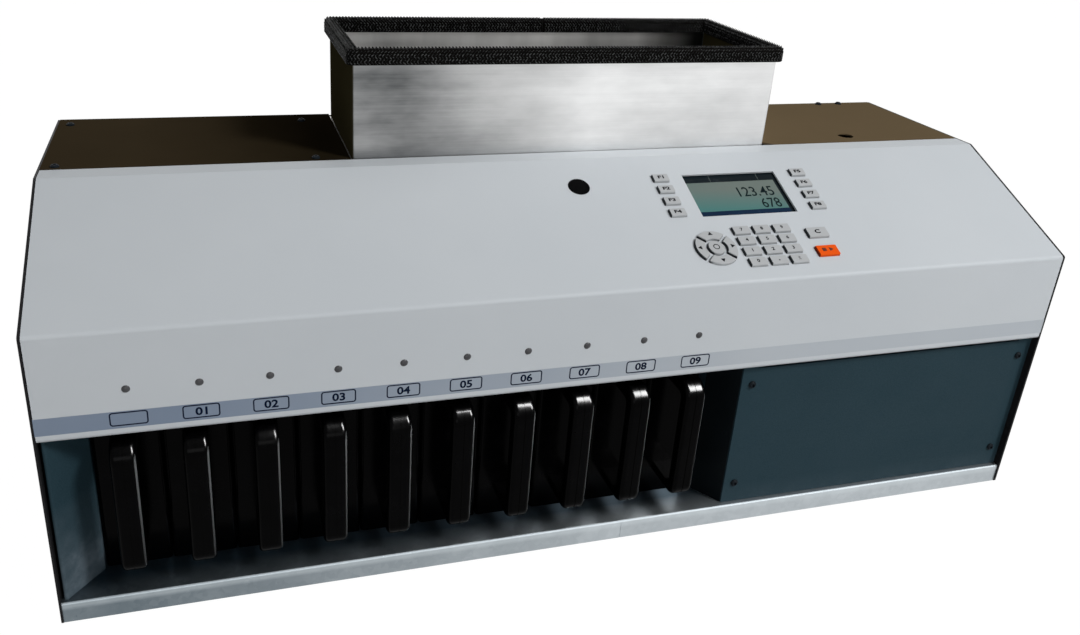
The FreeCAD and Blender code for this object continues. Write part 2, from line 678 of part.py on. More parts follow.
def hopper():
    x0, x1 = HOPPER_X
    y0, y1 = HOPPER_Y
    t = HOPPER_T
    bend = HOPPER_CORNER_R
    belt_top = ROLLER_Z + ROLLER_R + BELT_FIT + BELT_T
    openings = [box(x0 - 1, y0 + bend, HOPPER_SKIRT_Z - 1, x0 + t + 1, y1 - bend, belt_top + 2),
                box(x1 - t - 1, y0 + bend, HOPPER_SKIRT_Z - 1, x1 + 1, y1 - bend, HOPPER_OUTLET_Z)]
    walls = hopper_walls(HOPPER_SKIRT_Z, HOPPER_RIM_Z).cut(openings)
    flange_z = (TOP_UNDER_Z - SHEET_T, TOP_UNDER_Z)
    flanges = [box(x0 - HOPPER_FLANGE, y0 + bend, flange_z[0], x0 + t / 2, y1 - bend, flange_z[1]),
               box(x1 - t / 2, y0 + BRACKET_RUN, flange_z[0], x1 + HOPPER_FLANGE, y1 - bend, flange_z[1])]
    shafts = [cylinder(ROLLER_SHAFT_R + RUNNING_FIT, Vector(x, y0 - 1, ROLLER_Z), Vector(x, y1 + 1, ROLLER_Z))
              for x in ROLLER_X]
    # The skirts reach past the side walls to hold the drive roller's shaft.
    return fuse([walls] + flanges + hopper_skirts()).cut(shafts)


def hopper_skirts():
    """Tongues that carry the front and rear walls past the outlet to the drive roller."""
    y0, y1 = HOPPER_Y
    t = HOPPER_T
    x0 = HOPPER_X[1] - 2 * HOPPER_CORNER_R
    x1 = ROLLER_X[1] + ROLLER_R + BELT_T + BELT_FIT + 2
    return [box(x0, y, HOPPER_SKIRT_Z, x1, y + t, TOP_UNDER_Z - SHEET_T) for y in (y0, y1 - t)]


def hopper_edge_trim():
    """Edge profile pressed over the hopper's rim, with its ends meeting at a seam behind."""
    x0, x1 = HOPPER_X
    y0, y1 = HOPPER_Y
    low, high = TRIM_Z
    outer_r, inner_r = TRIM_CORNER_R
    out, come_in = TRIM_OUT, TRIM_IN
    outer = rounded_rectangle(x0 - out, y0 - out, x1 + out, y1 + out, low, high, outer_r)
    inner = rounded_rectangle(x0 + come_in, y0 + come_in, x1 - come_in, y1 - come_in,
                              low - 1, high + 1, inner_r)
    band = outer.cut(inner)
    top_edges = [e for e in band.Edges if all(abs(v.Z - high) < 1e-6 for v in e.Vertexes)]
    band = band.makeFillet(TRIM_R, top_edges)
    seam_x, seam_w = TRIM_SEAM
    seam = box(seam_x, y1 - TRIM_IN - 1, low - 1, seam_x + seam_w, y1 + TRIM_OUT + 1, high + 1)
    return band.cut([hopper_walls(low - 1, HOPPER_RIM_Z), seam])


def feed_roller(x):
    y0 = HOPPER_Y[0] + HOPPER_T + ROLLER_END_GAP
    y1 = HOPPER_Y[1] - HOPPER_T - ROLLER_END_GAP
    drum = cylinder(ROLLER_R, Vector(x, y0, ROLLER_Z), Vector(x, y1, ROLLER_Z))
    front, back = HOPPER_Y[0] + ROLLER_SIDE_PLAY, HOPPER_Y[1] - ROLLER_SIDE_PLAY
    shaft = cylinder(ROLLER_SHAFT_R, Vector(x, front, ROLLER_Z), Vector(x, back, ROLLER_Z))
    reach = ROLLER_SHAFT_R + 1
    flat_z = ROLLER_Z + ROLLER_SHAFT_R - SHAFT_FLAT
    flat = box(x - reach, y0 - ROLLER_END_GAP, flat_z, x + reach, y0, ROLLER_Z + reach)
    return fuse([drum, shaft]).cut(flat)


def feed_belt():
    """Endless belt round both rollers; its top run is the hopper's floor."""
    y0 = HOPPER_Y[0] + HOPPER_T + ROLLER_END_GAP
    y1 = HOPPER_Y[1] - HOPPER_T - ROLLER_END_GAP

    def loop(radius):
        low, high = ROLLER_Z - radius, ROLLER_Z + radius
        left, right = ROLLER_X[0] - radius, ROLLER_X[1] + radius
        corners = [(left, low), (right, low), (right, high), (left, high)]
        return prism(corners, radius - 0.001, front_view(y0), Vector(0, y1 - y0, 0))

    inside = ROLLER_R + BELT_FIT
    return loop(inside + BELT_T).cut(loop(inside))


# ---------------------------------------------------------------- sorting deck

def deck_slots():
    """The ten slots, each just wider than its coin; the last one takes whatever is left."""
    slots = []
    near = RAIL_Y + SLOT_EDGE
    for index, width in enumerate(SLOT_WIDTHS):
        x = box_x(index)
        slots.append(rounded_rectangle(x - SLOT_LENGTH / 2, near, x + SLOT_LENGTH / 2, near + width,
                                       DECK_Z - DECK_T - 1, DECK_Z + 1, SLOT_CORNER_R))
    return slots


def sorter_deck():
    """Deck plate with its slots; the ring wall, reference rail and motor are bolted to it."""
    top = DECK_Z
    up = Vector(0, 0, 1)
    axis = Vector(DISC_X, DISC_Y, top)
    under = axis - up * DECK_T
    plate = box(-INNER_X, DECK_Y[0], top - DECK_T, INNER_X, DECK_Y[1], top)
    shaft_hole = cylinder(DISC_SHAFT_R + RUNNING_FIT, under - up, axis + up)
    rail_x0 = box_x(0) - BOX_PITCH / 2
    rail = box(rail_x0, RAIL_Y - RAIL_T, top, DISC_X - RAIL_END, RAIL_Y, top + RAIL_H)
    wall = cylinder(RING_WALL_R + RING_WALL_T, axis, axis + up * RING_WALL_H)
    wall = wall.cut(cylinder(RING_WALL_R, axis, axis + up * RING_WALL_H))
    gate = box(DISC_X - RING_WALL_R - 2 * RING_WALL_T, RAIL_Y - 2 * RAIL_T, top,
               DISC_X, RAIL_Y + GATE_W, top + RAIL_H)
    motor = cylinder(MOTOR_R, under, under - up * MOTOR_H)
    bore_r, bore_depth = MOTOR_BORE
    bore = cylinder(bore_r, under, under - up * bore_depth)
    return Part.makeCompound([plate.cut(deck_slots() + [shaft_hole]), rail, wall.cut(gate), motor.cut(bore)])


def coin_disc():
    """Turning disc with a raised hub, flinging ribs and its drive shaft."""
    low = DECK_Z + DISC_LIFT
    axis = Vector(DISC_X, DISC_Y, low)
    up = Vector(0, 0, 1)
    hub_r, hub_top_r, hub_h = DISC_HUB
    margin, rib_w, rib_h = DISC_RIB
    plate = cylinder(DISC_R, axis, axis + up * DISC_T)
    hub = Part.makeCone(hub_r, hub_top_r, hub_h, axis + up * DISC_T, up)
    shaft = cylinder(DISC_SHAFT_R, axis - up * (DISC_LIFT + DECK_T + DISC_SHAFT_TAIL), axis)
    ribs = []
    for index in range(DISC_RIBS):
        rib = box(DISC_X + margin, DISC_Y - rib_w / 2, low + DISC_T,
                  DISC_X + DISC_R - margin, DISC_Y + rib_w / 2, low + DISC_T + rib_h)
        rib.rotate(axis, up, 360 / DISC_RIBS * index)
        ribs.append(rib)
    return fuse([plate, hub, shaft] + ribs)


def coin_chutes():
    """One tapering tube under each slot, ending just above the coin boxes."""
    chutes = []
    top = DECK_Z - DECK_T
    for index in range(BOX_COUNT):
        x = box_x(index)
        shells = []
        for inset in (0, CHUTE_T):
            wires = []
            for z, narrow in ((CHUTE_BOTTOM_Z, CHUTE_TAPER), (top, 0.0)):
                half = CHUTE_X / 2 - narrow - inset
                y0, y1 = CHUTE_Y[0] + inset, CHUTE_Y[1] - 2 * narrow - inset
                corners = [(x - half, y0), (x + half, y0), (x + half, y1), (x - half, y1)]
                wires.append(rounded_wire(corners, [0] * 4, plan_view(z)))
            shells.append(Part.makeLoft(wires, True, True))
        chutes.append(shells[0].cut(shells[1]))
    return Part.makeCompound(chutes)


# ---------------------------------------------------------------- mains inlet

def power_inlet():
    """Three-pin mains inlet and the frame of the rocker switch above it."""
    back = DEPTH
    flange_w, flange_t, flange_h = INLET_FLANGE
    plate = rounded_rectangle(-flange_w / 2, -flange_h / 2, flange_w / 2, flange_h / 2, 0, flange_t, 4)
    plate.rotate(Vector(0, 0, 0), Vector(1, 0, 0), -90)
    plate.translate(Vector(INLET_X, back, INLET_Z))
    body = centred_box(INLET_X, INLET_Z, INLET_BODY, back)
    mouth_w, mouth_depth, mouth_h = INLET_MOUTH
    left, right = INLET_X - mouth_w / 2, INLET_X + mouth_w / 2
    low, high = INLET_Z - mouth_h / 2, INLET_Z + mouth_h / 2
    cut = INLET_MOUTH_CUT
    mouth = [(left, low), (right, low), (right, high - cut), (right - cut, high),
             (left + cut, high), (left, high - cut)]
    hollow = prism(mouth, 0.8, front_view(back - mouth_depth), Vector(0, 2 * mouth_depth, 0))
    socket = fuse([plate, body]).cut(hollow)
    side, rise = INLET_PIN_PITCH
    pins = []
    for x, z in ((-side, -rise / 2), (0, rise / 2), (side, -rise / 2)):
        pins.append(centred_box(INLET_X + x, INLET_Z + z, INLET_PIN, back - mouth_depth + INLET_PIN[1] - 1))
    frame = centred_box(INLET_X, SWITCH_Z, SWITCH_FRAME, back + SWITCH_FRAME[1])
    case = centred_box(INLET_X, SWITCH_Z, SWITCH_CASE, back)
    play, depth = SWITCH_ROOM
    room_size = (ROCKER[0] + 2 * play, depth + 2 * SWITCH_FRAME[1], ROCKER[1] + 2 * play)
    room = centred_box(INLET_X, SWITCH_Z, room_size, back + 2 * SWITCH_FRAME[1])
    return Part.makeCompound([fuse([socket] + pins), fuse([frame, case]).cut(room)])


def rocker_switch():
    """Rocker with a shallow V face, standing in its off position."""
    y = DEPTH
    half = ROCKER[1] / 2
    outline = [(y - 7, SWITCH_Z - 4), (y - 7, SWITCH_Z + 4), (y - 1.2, SWITCH_Z + half - 0.6),
               (y + 1.4, SWITCH_Z + half - 0.8), (y - 0.2, SWITCH_Z),
               (y + 1.4, SWITCH_Z - half + 0.8), (y - 1.2, SWITCH_Z - half + 0.6)]
    rocker = prism(outline, 0.5, side_view(INLET_X - ROCKER[0] / 2), Vector(ROCKER[0], 0, 0))
    rocker.rotate(Vector(INLET_X, y - ROCKER_PIVOT, SWITCH_Z), Vector(1, 0, 0), ROCKER_TILT)
    return rocker


# ---------------------------------------------------------------- export

def save(name, shape):
    placed = shape.copy()
    placed.translate(ORIGIN_SHIFT)
    placed.exportStep(f"parts/{name}.step")


def nodes():
    """Every node's shape, by name."""
    shapes = {
        "base_tray": base_tray(),
        "left_side_panel": side_panel(-1),
        "right_side_panel": side_panel(1),
        "rear_panel": rear_panel(),
        "top_covers": top_covers(),
        "feet": feet(),
        "cover_screws": cover_screws(),
        "service_panel": service_panel(),
        "bay_cheeks": bay_cheeks(),
        "hopper": hopper(),
        "hopper_edge_trim": hopper_edge_trim(),
        "feed_belt": feed_belt(),
        "feed_roller_idle": feed_roller(ROLLER_X[0]),
        "feed_roller_drive": feed_roller(ROLLER_X[1]),
        "sorter_deck": sorter_deck(),
        "coin_disc": coin_disc(),
        "coin_chutes": coin_chutes(),
        "power_inlet": power_inlet(),
        "rocker_switch": rocker_switch(),
        "front_cover": front_cover(),
        "display_module": display_module(),
        "cover_plug": cover_plug(),
        "indicator_lenses": indicator_lenses(),
    }
    for name, outline in key_outlines().items():
        shapes[name] = on_slope(key_solid(outline))
    for index in range(BOX_COUNT):
        shapes[f"coin_box_{index + 1}"] = coin_box(index)
    return shapes


os.makedirs("parts", exist_ok=True)
for node_name, node_shape in nodes().items():
    save(node_name, node_shape)
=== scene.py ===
import math

import bpy
from mathutils import Matrix, Vector


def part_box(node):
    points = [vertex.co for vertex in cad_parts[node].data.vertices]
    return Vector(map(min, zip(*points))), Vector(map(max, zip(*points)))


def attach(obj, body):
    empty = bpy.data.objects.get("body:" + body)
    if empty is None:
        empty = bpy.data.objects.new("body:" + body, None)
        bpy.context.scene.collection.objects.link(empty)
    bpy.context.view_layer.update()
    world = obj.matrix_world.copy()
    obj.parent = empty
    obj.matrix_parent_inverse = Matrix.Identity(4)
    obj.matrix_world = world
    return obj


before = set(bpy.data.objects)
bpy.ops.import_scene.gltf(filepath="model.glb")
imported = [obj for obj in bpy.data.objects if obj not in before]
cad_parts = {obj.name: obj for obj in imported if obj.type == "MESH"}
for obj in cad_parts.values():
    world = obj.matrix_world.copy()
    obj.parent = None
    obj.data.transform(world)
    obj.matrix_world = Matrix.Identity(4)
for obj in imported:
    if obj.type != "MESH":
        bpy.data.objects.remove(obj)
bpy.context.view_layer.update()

# Coin sorting machine: finishes, printed marks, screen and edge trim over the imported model.
# Lengths are metres. The sloped face has its own axes: x across, d up the slope, h off it.

# ---------------------------------------------------------------- places on the frame

CHANNELS = 10  # coin boxes, each with its own lamp and label
COVER_LOW, COVER_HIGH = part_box("front_cover")
BEND_Z = 0.3042  # where the cover's upright face bends into its slope
SLOPE_RUN = 0.1733  # how far back the slope reaches
SLOPE_ANGLE = math.atan2(COVER_HIGH.z - BEND_Z, SLOPE_RUN)
KEY_TOP = 0.0030  # the keys' tops over the slope
SCREEN_DEPTH = -0.003  # the screen's face under the slope
PRINT_T = 0.00006  # thickness of printed ink
PRINT_GAP = 0.00002  # ink's underside off the paint


def slope_place(x, d, h):
    """Matrix that lays a flat piece, drawn about its own middle, on the sloped face."""
    out = Vector((0, -math.sin(SLOPE_ANGLE), math.cos(SLOPE_ANGLE)))
    up = Vector((0, math.cos(SLOPE_ANGLE), math.sin(SLOPE_ANGLE)))
    corner = Vector((x, COVER_LOW.y, BEND_Z))
    return Matrix.Translation(corner + up * d + out * h) @ Matrix.Rotation(SLOPE_ANGLE, 4, "X")


def front_place(x, z, proud):
    """Matrix that stands a flat piece on the cover's upright front face."""
    return Matrix.Translation((x, COVER_LOW.y - proud, z)) @ Matrix.Rotation(math.pi / 2, 4, "X")


# ---------------------------------------------------------------- node helpers

class Graph:
    """Short way to add linked nodes to one node tree."""

    def __init__(self, tree):
        self.tree = tree

    def add(self, kind, inputs=None, **settings):
        node = self.tree.nodes.new(kind)
        for name, value in settings.items():
            setattr(node, name, value)
        for name, value in (inputs or {}).items():
            self.feed(node.inputs[name], value)
        return node

    def feed(self, socket, value):
        """Link a socket, or set its value; a colour is given as red, green and blue."""
        if isinstance(value, bpy.types.NodeSocket):
            self.tree.links.new(value, socket)
        elif value is not None:
            socket.default_value = (*value, 1.0) if socket.type == "RGBA" else value

    def math(self, operation, first, second=0.0):
        return self.add("ShaderNodeMath", {0: first, 1: second}, operation=operation).outputs[0]

    def times(self, first, second):
        return self.math("MULTIPLY", first, second)

    def weighted(self, *parts):
        """Sum of values, each given with its weight."""
        total, *rest = [self.times(value, weight) for value, weight in parts]
        for product in rest:
            total = self.math("ADD", total, product)
        return total

    def stretched(self, vector, factors):
        node = self.add("ShaderNodeVectorMath", {0: vector, 1: factors}, operation="MULTIPLY")
        return node.outputs[0]

    def ramp(self, factor, low, high, to_low=0.0, to_high=1.0):
        inputs = {"Value": factor, "From Min": low, "From Max": high, "To Min": to_low, "To Max": to_high}
        return self.add("ShaderNodeMapRange", inputs).outputs["Result"]

    def mix(self, factor, first, second):
        """Mix of two colours."""
        return self.add("ShaderNodeMix", {0: factor, 6: first, 7: second}, data_type="RGBA").outputs[2]

    def group(self, tree, inputs):
        return self.add("ShaderNodeGroup", inputs, node_tree=tree).outputs

    def noise(self, vector, scale, detail=4.0, roughness=0.55):
        inputs = {"Vector": vector, "Scale": scale, "Detail": detail, "Roughness": roughness}
        return self.add("ShaderNodeTexNoise", inputs).outputs[0]

    def place(self):
        return self.add("ShaderNodeTexCoord").outputs["Object"]

    def axis(self, letter):
        """X, Y or Z of the place on the surface."""
        return self.add("ShaderNodeSeparateXYZ", {0: self.place()}).outputs[letter]


def group_tree(kind, name, inputs, outputs):
    """Empty node group: inputs as name, kind of socket and start value, outputs as name and kind."""
    tree = bpy.data.node_groups.new(name, kind)
    for label, socket_kind, start in inputs:
        socket = tree.interface.new_socket(label, in_out="INPUT", socket_type=socket_kind)
        if start is not None:
            socket.default_value = start
    for label, socket_kind in outputs:
        tree.interface.new_socket(label, in_out="OUTPUT", socket_type=socket_kind)
    given = tree.nodes.new("NodeGroupInput").outputs
    wanted = tree.nodes.new("NodeGroupOutput").inputs
    return Graph(tree), given, wanted


FLOAT, VECTOR = "NodeSocketFloat", "NodeSocketVector"


def shader_group(name, inputs, outputs):
    return group_tree("ShaderNodeTree", name, inputs, [(label, FLOAT) for label in outputs])


# ---------------------------------------------------------------- shared surface effects

def make_powder_coat():
    """Fine pebbled relief of baked powder paint, and its faint unevenness in tone."""
    graph, given, wanted = shader_group("powder_coat", [("Pebble Size", FLOAT, 0.0012)], ["Height", "Tone"])
    place = graph.place()
    scale = graph.math("DIVIDE", 1.0, given["Pebble Size"])
    pebbles = graph.noise(place, scale, 3.0, 0.5)
    waves = graph.noise(place, graph.times(scale, 0.35), 2.0, 0.5)
    graph.feed(wanted["Height"], graph.weighted((pebbles, 0.7), (waves, 0.3)))
    graph.feed(wanted["Tone"], graph.ramp(graph.noise(place, 4.5, 3.0, 0.6), 0.3, 0.7))
    return graph.tree


def make_handling_marks():
    """Soft smudges and rubbed patches that change how glossy a surface is."""
    graph, given, wanted = shader_group(
        "handling_marks", [("Patch Size", FLOAT, 0.06), ("Amount", FLOAT, 0.5)], ["Mask"])
    place = graph.place()
    scale = graph.math("DIVIDE", 1.0, given["Patch Size"])
    patches = graph.ramp(graph.noise(place, scale, 5.0, 0.62), 0.42, 0.68)
    streaks = graph.noise(place, graph.times(scale, 6.0), 3.0, 0.5)
    graph.feed(wanted["Mask"], graph.times(graph.times(patches, streaks), given["Amount"]))
    return graph.tree


def make_brushed_grain():
    """Fine parallel lines left by brushing or rolling, along the axis with the small stretch."""
    graph, given, wanted = shader_group(
        "brushed_grain", [("Stretch", VECTOR, (6.0, 400.0, 900.0)), ("Cloud Size", FLOAT, 0.12)],
        ["Height", "Lines", "Clouds"])
    place = graph.place()
    drawn = graph.stretched(place, given["Stretch"])
    fine = graph.noise(drawn, 1.0, 5.0, 0.65)
    broad = graph.noise(drawn, 0.16, 3.0, 0.6)
    lines = graph.weighted((fine, 0.6), (broad, 0.4))
    smeared = graph.stretched(place, (1.0, 1.0, 2.4))
    clouds = graph.noise(smeared, graph.math("DIVIDE", 1.0, given["Cloud Size"]), 4.0, 0.6)
    graph.feed(wanted["Height"], lines)
    graph.feed(wanted["Lines"], graph.ramp(lines, 0.3, 0.7))
    graph.feed(wanted["Clouds"], graph.ramp(clouds, 0.32, 0.68))
    return graph.tree


def make_facing_mask():
    """1 where a surface faces one direction, falling to 0 as it turns away."""
    graph, given, wanted = shader_group(
        "facing_mask", [("Direction", VECTOR, (1.0, 0.0, 0.0)), ("Edge", FLOAT, 0.9), ("Full", FLOAT, 0.98)],
        ["Mask"])
    normal = graph.add("ShaderNodeTexCoord").outputs["Normal"]
    turned = graph.add("ShaderNodeVectorMath", {0: normal, 1: given["Direction"]}, operation="DOT_PRODUCT")
    graph.feed(wanted["Mask"], graph.ramp(turned.outputs["Value"], given["Edge"], given["Full"]))
    return graph.tree


def make_zinc_spangle():
    """Crystal patches of hot-dip zinc: each patch has its own tone."""
    graph, given, wanted = shader_group("zinc_spangle", [("Patch Size", FLOAT, 0.012)], ["Tone"])
    place = graph.place()
    scale = graph.math("DIVIDE", 1.0, given["Patch Size"])
    warp = graph.add("ShaderNodeTexNoise", {"Vector": place, "Scale": scale, "Detail": 2.0}).outputs[1]
    shift = graph.add("ShaderNodeVectorMath", {0: warp, "Scale": 0.006}, operation="SCALE").outputs[0]
    bent = graph.add("ShaderNodeVectorMath", {0: place, 1: shift}, operation="ADD").outputs[0]
    cells = graph.add("ShaderNodeTexVoronoi", {"Vector": bent, "Scale": scale}).outputs["Color"]
    graph.feed(wanted["Tone"], graph.add("ShaderNodeSeparateColor", {0: cells}).outputs[0])
    return graph.tree


POWDER_COAT = make_powder_coat()
HANDLING_MARKS = make_handling_marks()
BRUSHED_GRAIN = make_brushed_grain()
ZINC_SPANGLE = make_zinc_spangle()
FACING_MASK = make_facing_mask()


# ---------------------------------------------------------------- materials

HOPPER_LOW, HOPPER_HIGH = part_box("hopper")
TRAY_LOW, TRAY_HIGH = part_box("base_tray")
BOX_FRONT_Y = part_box("coin_box_1")[0].y

# Directions that surfaces face
LEFT = (-1.0, 0.0, 0.0)
FRONT = (0.0, -1.0, 0.0)
UP_FRONT = (0.0, -0.6, 0.8)
RIGHT_CHEEK = (-0.82, -0.57, 0.0)
HANDLE_RIGHT_EDGE = (0.78, -0.62, 0.0)

# Where the slate paint begins to grow paler towards its foot and where it is palest
CORNER_PALE_Z = (0.13, 0.03)
CORNER_PALE_X = (-0.30, -0.45)
FOOT_PALE_Z = (0.05, 0.02)

# Painted shade on the slate, painted highlight on the zinc, painted shade in the box bay
SHADED_SLATE = (0.0015, 0.0030, 0.0040)
ZINC_HIGHLIGHT = (0.66, 0.72, 0.75)
BAY_SHADE = (0.018, 0.045, 0.070)
SCREEN_GREY_GREEN = (0.125, 0.155, 0.140)
SCREEN_TEAL = (0.055, 0.165, 0.155)


def new_finish(name, **constants):
    """Fresh material with its Principled BSDF and the constants set on the shader itself."""
    material = bpy.data.materials.new(name)
    material.use_nodes = True
    shader = material.node_tree.nodes["Principled BSDF"]
    for label, value in constants.items():
        shader.inputs[label.replace("_", " ")].default_value = value
    return material, Graph(material.node_tree), shader


def add_bump(graph, shader, height, distance):
    bump = graph.add("ShaderNodeBump", {"Height": height, "Distance": distance, "Strength": 1.0})
    graph.feed(shader.inputs["Normal"], bump.outputs["Normal"])


def add_gloss(graph, shader, mask, mask_high, gloss):
    """Roughness that runs from one value to another as the mask rises."""
    graph.feed(shader.inputs["Roughness"], graph.ramp(mask, 0.0, mask_high, *gloss))


def powder_coat(graph, pebble):
    return graph.group(POWDER_COAT, {"Pebble Size": pebble})


def handling_marks(graph, patch, amount=1.0):
    return graph.group(HANDLING_MARKS, {"Patch Size": patch, "Amount": amount})["Mask"]


def brushed_grain(graph, stretch, cloud):
    return graph.group(BRUSHED_GRAIN, {"Stretch": stretch, "Cloud Size": cloud})


def facing(graph, direction, edge, full):
    return graph.group(FACING_MASK, {"Direction": direction, "Edge": edge, "Full": full})["Mask"]


def across(graph, start, end):
    """0 at one x of the object and 1 at another, the other way round if start is the greater."""
    return graph.ramp(graph.axis("X"), start, end)


def dusty_slate(name, dark, light, foot_colour):
    """Dark textured paint, paler towards its foot and in the left corner. The right cheek's deep shade is
    painted in.
    """
    material, graph, shader = new_finish(name, Specular_IOR_Level=0.04)
    coat = powder_coat(graph, 0.0009)
    marks = handling_marks(graph, 0.045)
    height = graph.axis("Z")
    # Paler towards the foot and in the left corner
    left_corner = graph.times(graph.ramp(height, *CORNER_PALE_Z), across(graph, *CORNER_PALE_X))
    foot = graph.times(graph.ramp(height, *FOOT_PALE_Z), 0.25)
    patchy = graph.ramp(marks, 0.0, 0.5, 0.3, 1.0)
    pale_amount = graph.times(graph.math("ADD", left_corner, foot), patchy)
    flecks = graph.ramp(graph.noise(graph.place(), 900.0, 2.0, 0.6), 0.3, 0.7)
    paint = graph.mix(graph.weighted((coat["Tone"], 0.3), (flecks, 0.7)), dark, light)
    # Painted shade: the cheek facing right-front is near black
    turned = facing(graph, RIGHT_CHEEK, 0.86, 0.97)
    graph.feed(shader.inputs["Base Color"], graph.mix(turned, graph.mix(pale_amount, paint, foot_colour), SHADED_SLATE))
    add_gloss(graph, shader, marks, 0.5, (0.44, 0.6))
    add_bump(graph, shader, coat["Height"], 0.00008)
    return material


def printed_band(name, left, right):
    """Screen-printed band that pales towards the right, over the cover's powder coat."""
    material, graph, shader = new_finish(name, Roughness=0.44)
    coat = powder_coat(graph, 0.0010)
    tone = graph.weighted((across(graph, -0.40, 0.15), 0.9), (coat["Tone"], 0.1))
    graph.feed(shader.inputs["Base Color"], graph.mix(tone, left, right))
    add_bump(graph, shader, coat["Height"], 0.00004)
    return material


def powder_paint(name, dark, light, pebble, relief, gloss, **constants):
    """Powder-coated sheet: tone drifts from dark to light, smudges change the gloss."""
    material, graph, shader = new_finish(name, **constants)
    coat = powder_coat(graph, pebble)
    graph.feed(shader.inputs["Base Color"], graph.mix(coat["Tone"], dark, light))
    add_gloss(graph, shader, handling_marks(graph, 0.09, 0.8), 0.5, gloss)
    add_bump(graph, shader, coat["Height"], relief)
    return material


def brushed_metal(name, dark, light, stretch, cloud, relief, gloss):
    """Bare sheet or turned metal with drawn lines and cloudy reflections."""
    material, graph, shader = new_finish(name, Metallic=1.0)
    grain = brushed_grain(graph, stretch, cloud)
    tone = graph.weighted((grain["Lines"], 0.35), (grain["Clouds"], 0.65))
    graph.feed(shader.inputs["Base Color"], graph.mix(tone, dark, light))
    add_gloss(graph, shader, grain["Clouds"], 1.0, gloss)
    add_bump(graph, shader, grain["Height"], relief)
    return material


def hopper_steel(name, dark, light, left_wall_shade, lining):
    """Brushed stainless. Its dark left end, bright right end and mottled clouds are painted reflection, and
    the dark brown of the wall facing left is painted shade.

    The lining's vertical streaks reach through to the outside of the rear wall.
    """
    material, graph, shader = new_finish(name, Specular_IOR_Level=0.0)
    grain = brushed_grain(graph, (3.0, 500.0, 700.0), 0.22)
    mottled_reflections = brushed_grain(graph, (5.0, 60.0, 60.0), 0.10)
    left, right = HOPPER_LOW.x, HOPPER_HIGH.x

    # Painted reflection: dark at the left end, bright to the right, a little darker at the far right, with
    # mottled clouds
    tone = graph.ramp(across(graph, left + 0.07, left + 0.28), 0.0, 1.0, -0.13, 0.53)
    tone = graph.math("SUBTRACT", tone, graph.times(across(graph, right - 0.10, right), 0.08))
    for part, weight in ((grain["Clouds"], 0.20), (mottled_reflections["Clouds"], 0.12), (mottled_reflections["Lines"], 0.14),
                         (grain["Lines"], 0.06)):
        tone = graph.math("ADD", tone, graph.times(part, weight))
    front = graph.mix(tone, dark, light)

    # The lining has vertical streaks; its darkening towards the right end is painted reflection
    upright = graph.stretched(graph.place(), (26.0, 1.0, 5.0))
    vertical_streaks = graph.ramp(graph.noise(upright, 1.0, 3.0, 0.55), 0.3, 0.7)
    streaked_lining = graph.mix(vertical_streaks, [channel * 0.72 for channel in lining], lining)
    streaked_lining = graph.mix(across(graph, right - 0.11, right - 0.03), streaked_lining, dark)
    behind = graph.ramp(graph.axis("Y"), HOPPER_HIGH.y - 0.05, HOPPER_HIGH.y - 0.02)

    # Painted shade: the wall facing left is dark brown and not metallic
    turned = facing(graph, LEFT, 0.5, 0.9)
    graph.feed(shader.inputs["Base Color"], graph.mix(turned, graph.mix(behind, front, streaked_lining), left_wall_shade))
    graph.feed(shader.inputs["Metallic"], graph.math("SUBTRACT", 1.0, turned))
    add_gloss(graph, shader, grain["Clouds"], 1.0, (0.42, 0.28))
    add_bump(graph, shader, grain["Height"], 0.00001)
    return material


def zinc_sheet(name, dark, light):
    """Galvanised sheet with a faint spangle. The paler right end, the pale band along the lip's top and the
    bright bend are painted light, and the box bay's shade is painted in.
    """
    material, graph, shader = new_finish(name, Metallic=0.9)
    spangle = graph.group(ZINC_SPANGLE, {"Patch Size": 0.006})["Tone"]
    marks = handling_marks(graph, 0.11, 0.9)
    mottle = graph.weighted((spangle, 0.2), (marks, 0.8))
    # Painted light: the sheet grows paler towards the right
    tone = graph.weighted((mottle, 0.4), (across(graph, TRAY_LOW.x + 0.05, TRAY_LOW.x + 0.60), 0.72))
    colour = graph.mix(tone, dark, light)

    # Painted highlight: a pale band along the top of the lip's front
    top_of_lip = graph.ramp(graph.axis("Z"), TRAY_HIGH.z - 0.0085, TRAY_HIGH.z - 0.0045)
    lip_highlight = graph.times(top_of_lip, facing(graph, FRONT, 0.6, 0.95))
    colour = graph.mix(graph.times(lip_highlight, 0.28), colour, ZINC_HIGHLIGHT)
    # Painted shade: darker deep in the box bay
    shade = graph.ramp(graph.axis("Y"), TRAY_LOW.y + 0.003, TRAY_LOW.y + 0.03, 0.0, 0.86)
    colour = graph.mix(shade, colour, BAY_SHADE)
    # Painted highlight on the bend
    bend = facing(graph, UP_FRONT, 0.90, 0.985)
    colour = graph.mix(graph.times(bend, 0.35), colour, ZINC_HIGHLIGHT)

    graph.feed(shader.inputs["Base Color"], colour)
    gloss = graph.ramp(marks, 0.0, 0.6, 0.38, 0.44)
    graph.feed(shader.inputs["Roughness"], graph.math("ADD", gloss, graph.times(bend, 0.30)))
    add_bump(graph, shader, marks, 0.00002)
    return material


def handle_plastic(name, dark, light, edge_light):
    """Glossy black moulding. The pale line along the handles' right edges is a painted highlight."""
    material, graph, shader = new_finish(name, Specular_IOR_Level=0.022)
    marks = handling_marks(graph, 0.03)
    # Painted highlight: a pale line down the handles' right edges, fading towards the bottom
    edge = facing(graph, HANDLE_RIGHT_EDGE, 0.93, 0.99)
    on_handle = graph.ramp(graph.axis("Y"), BOX_FRONT_Y + 0.010, BOX_FRONT_Y + 0.003)
    near_top = graph.ramp(graph.axis("Z"), 0.06, 0.17, 0.25, 1.0)
    painted_highlight = graph.times(edge, graph.times(on_handle, near_top))
    graph.feed(shader.inputs["Base Color"], graph.mix(painted_highlight, graph.mix(marks, dark, light), edge_light))
    add_gloss(graph, shader, marks, 0.6, (0.15, 0.24))
    add_bump(graph, shader, powder_coat(graph, 0.0007)["Height"], 0.000004)
    return material


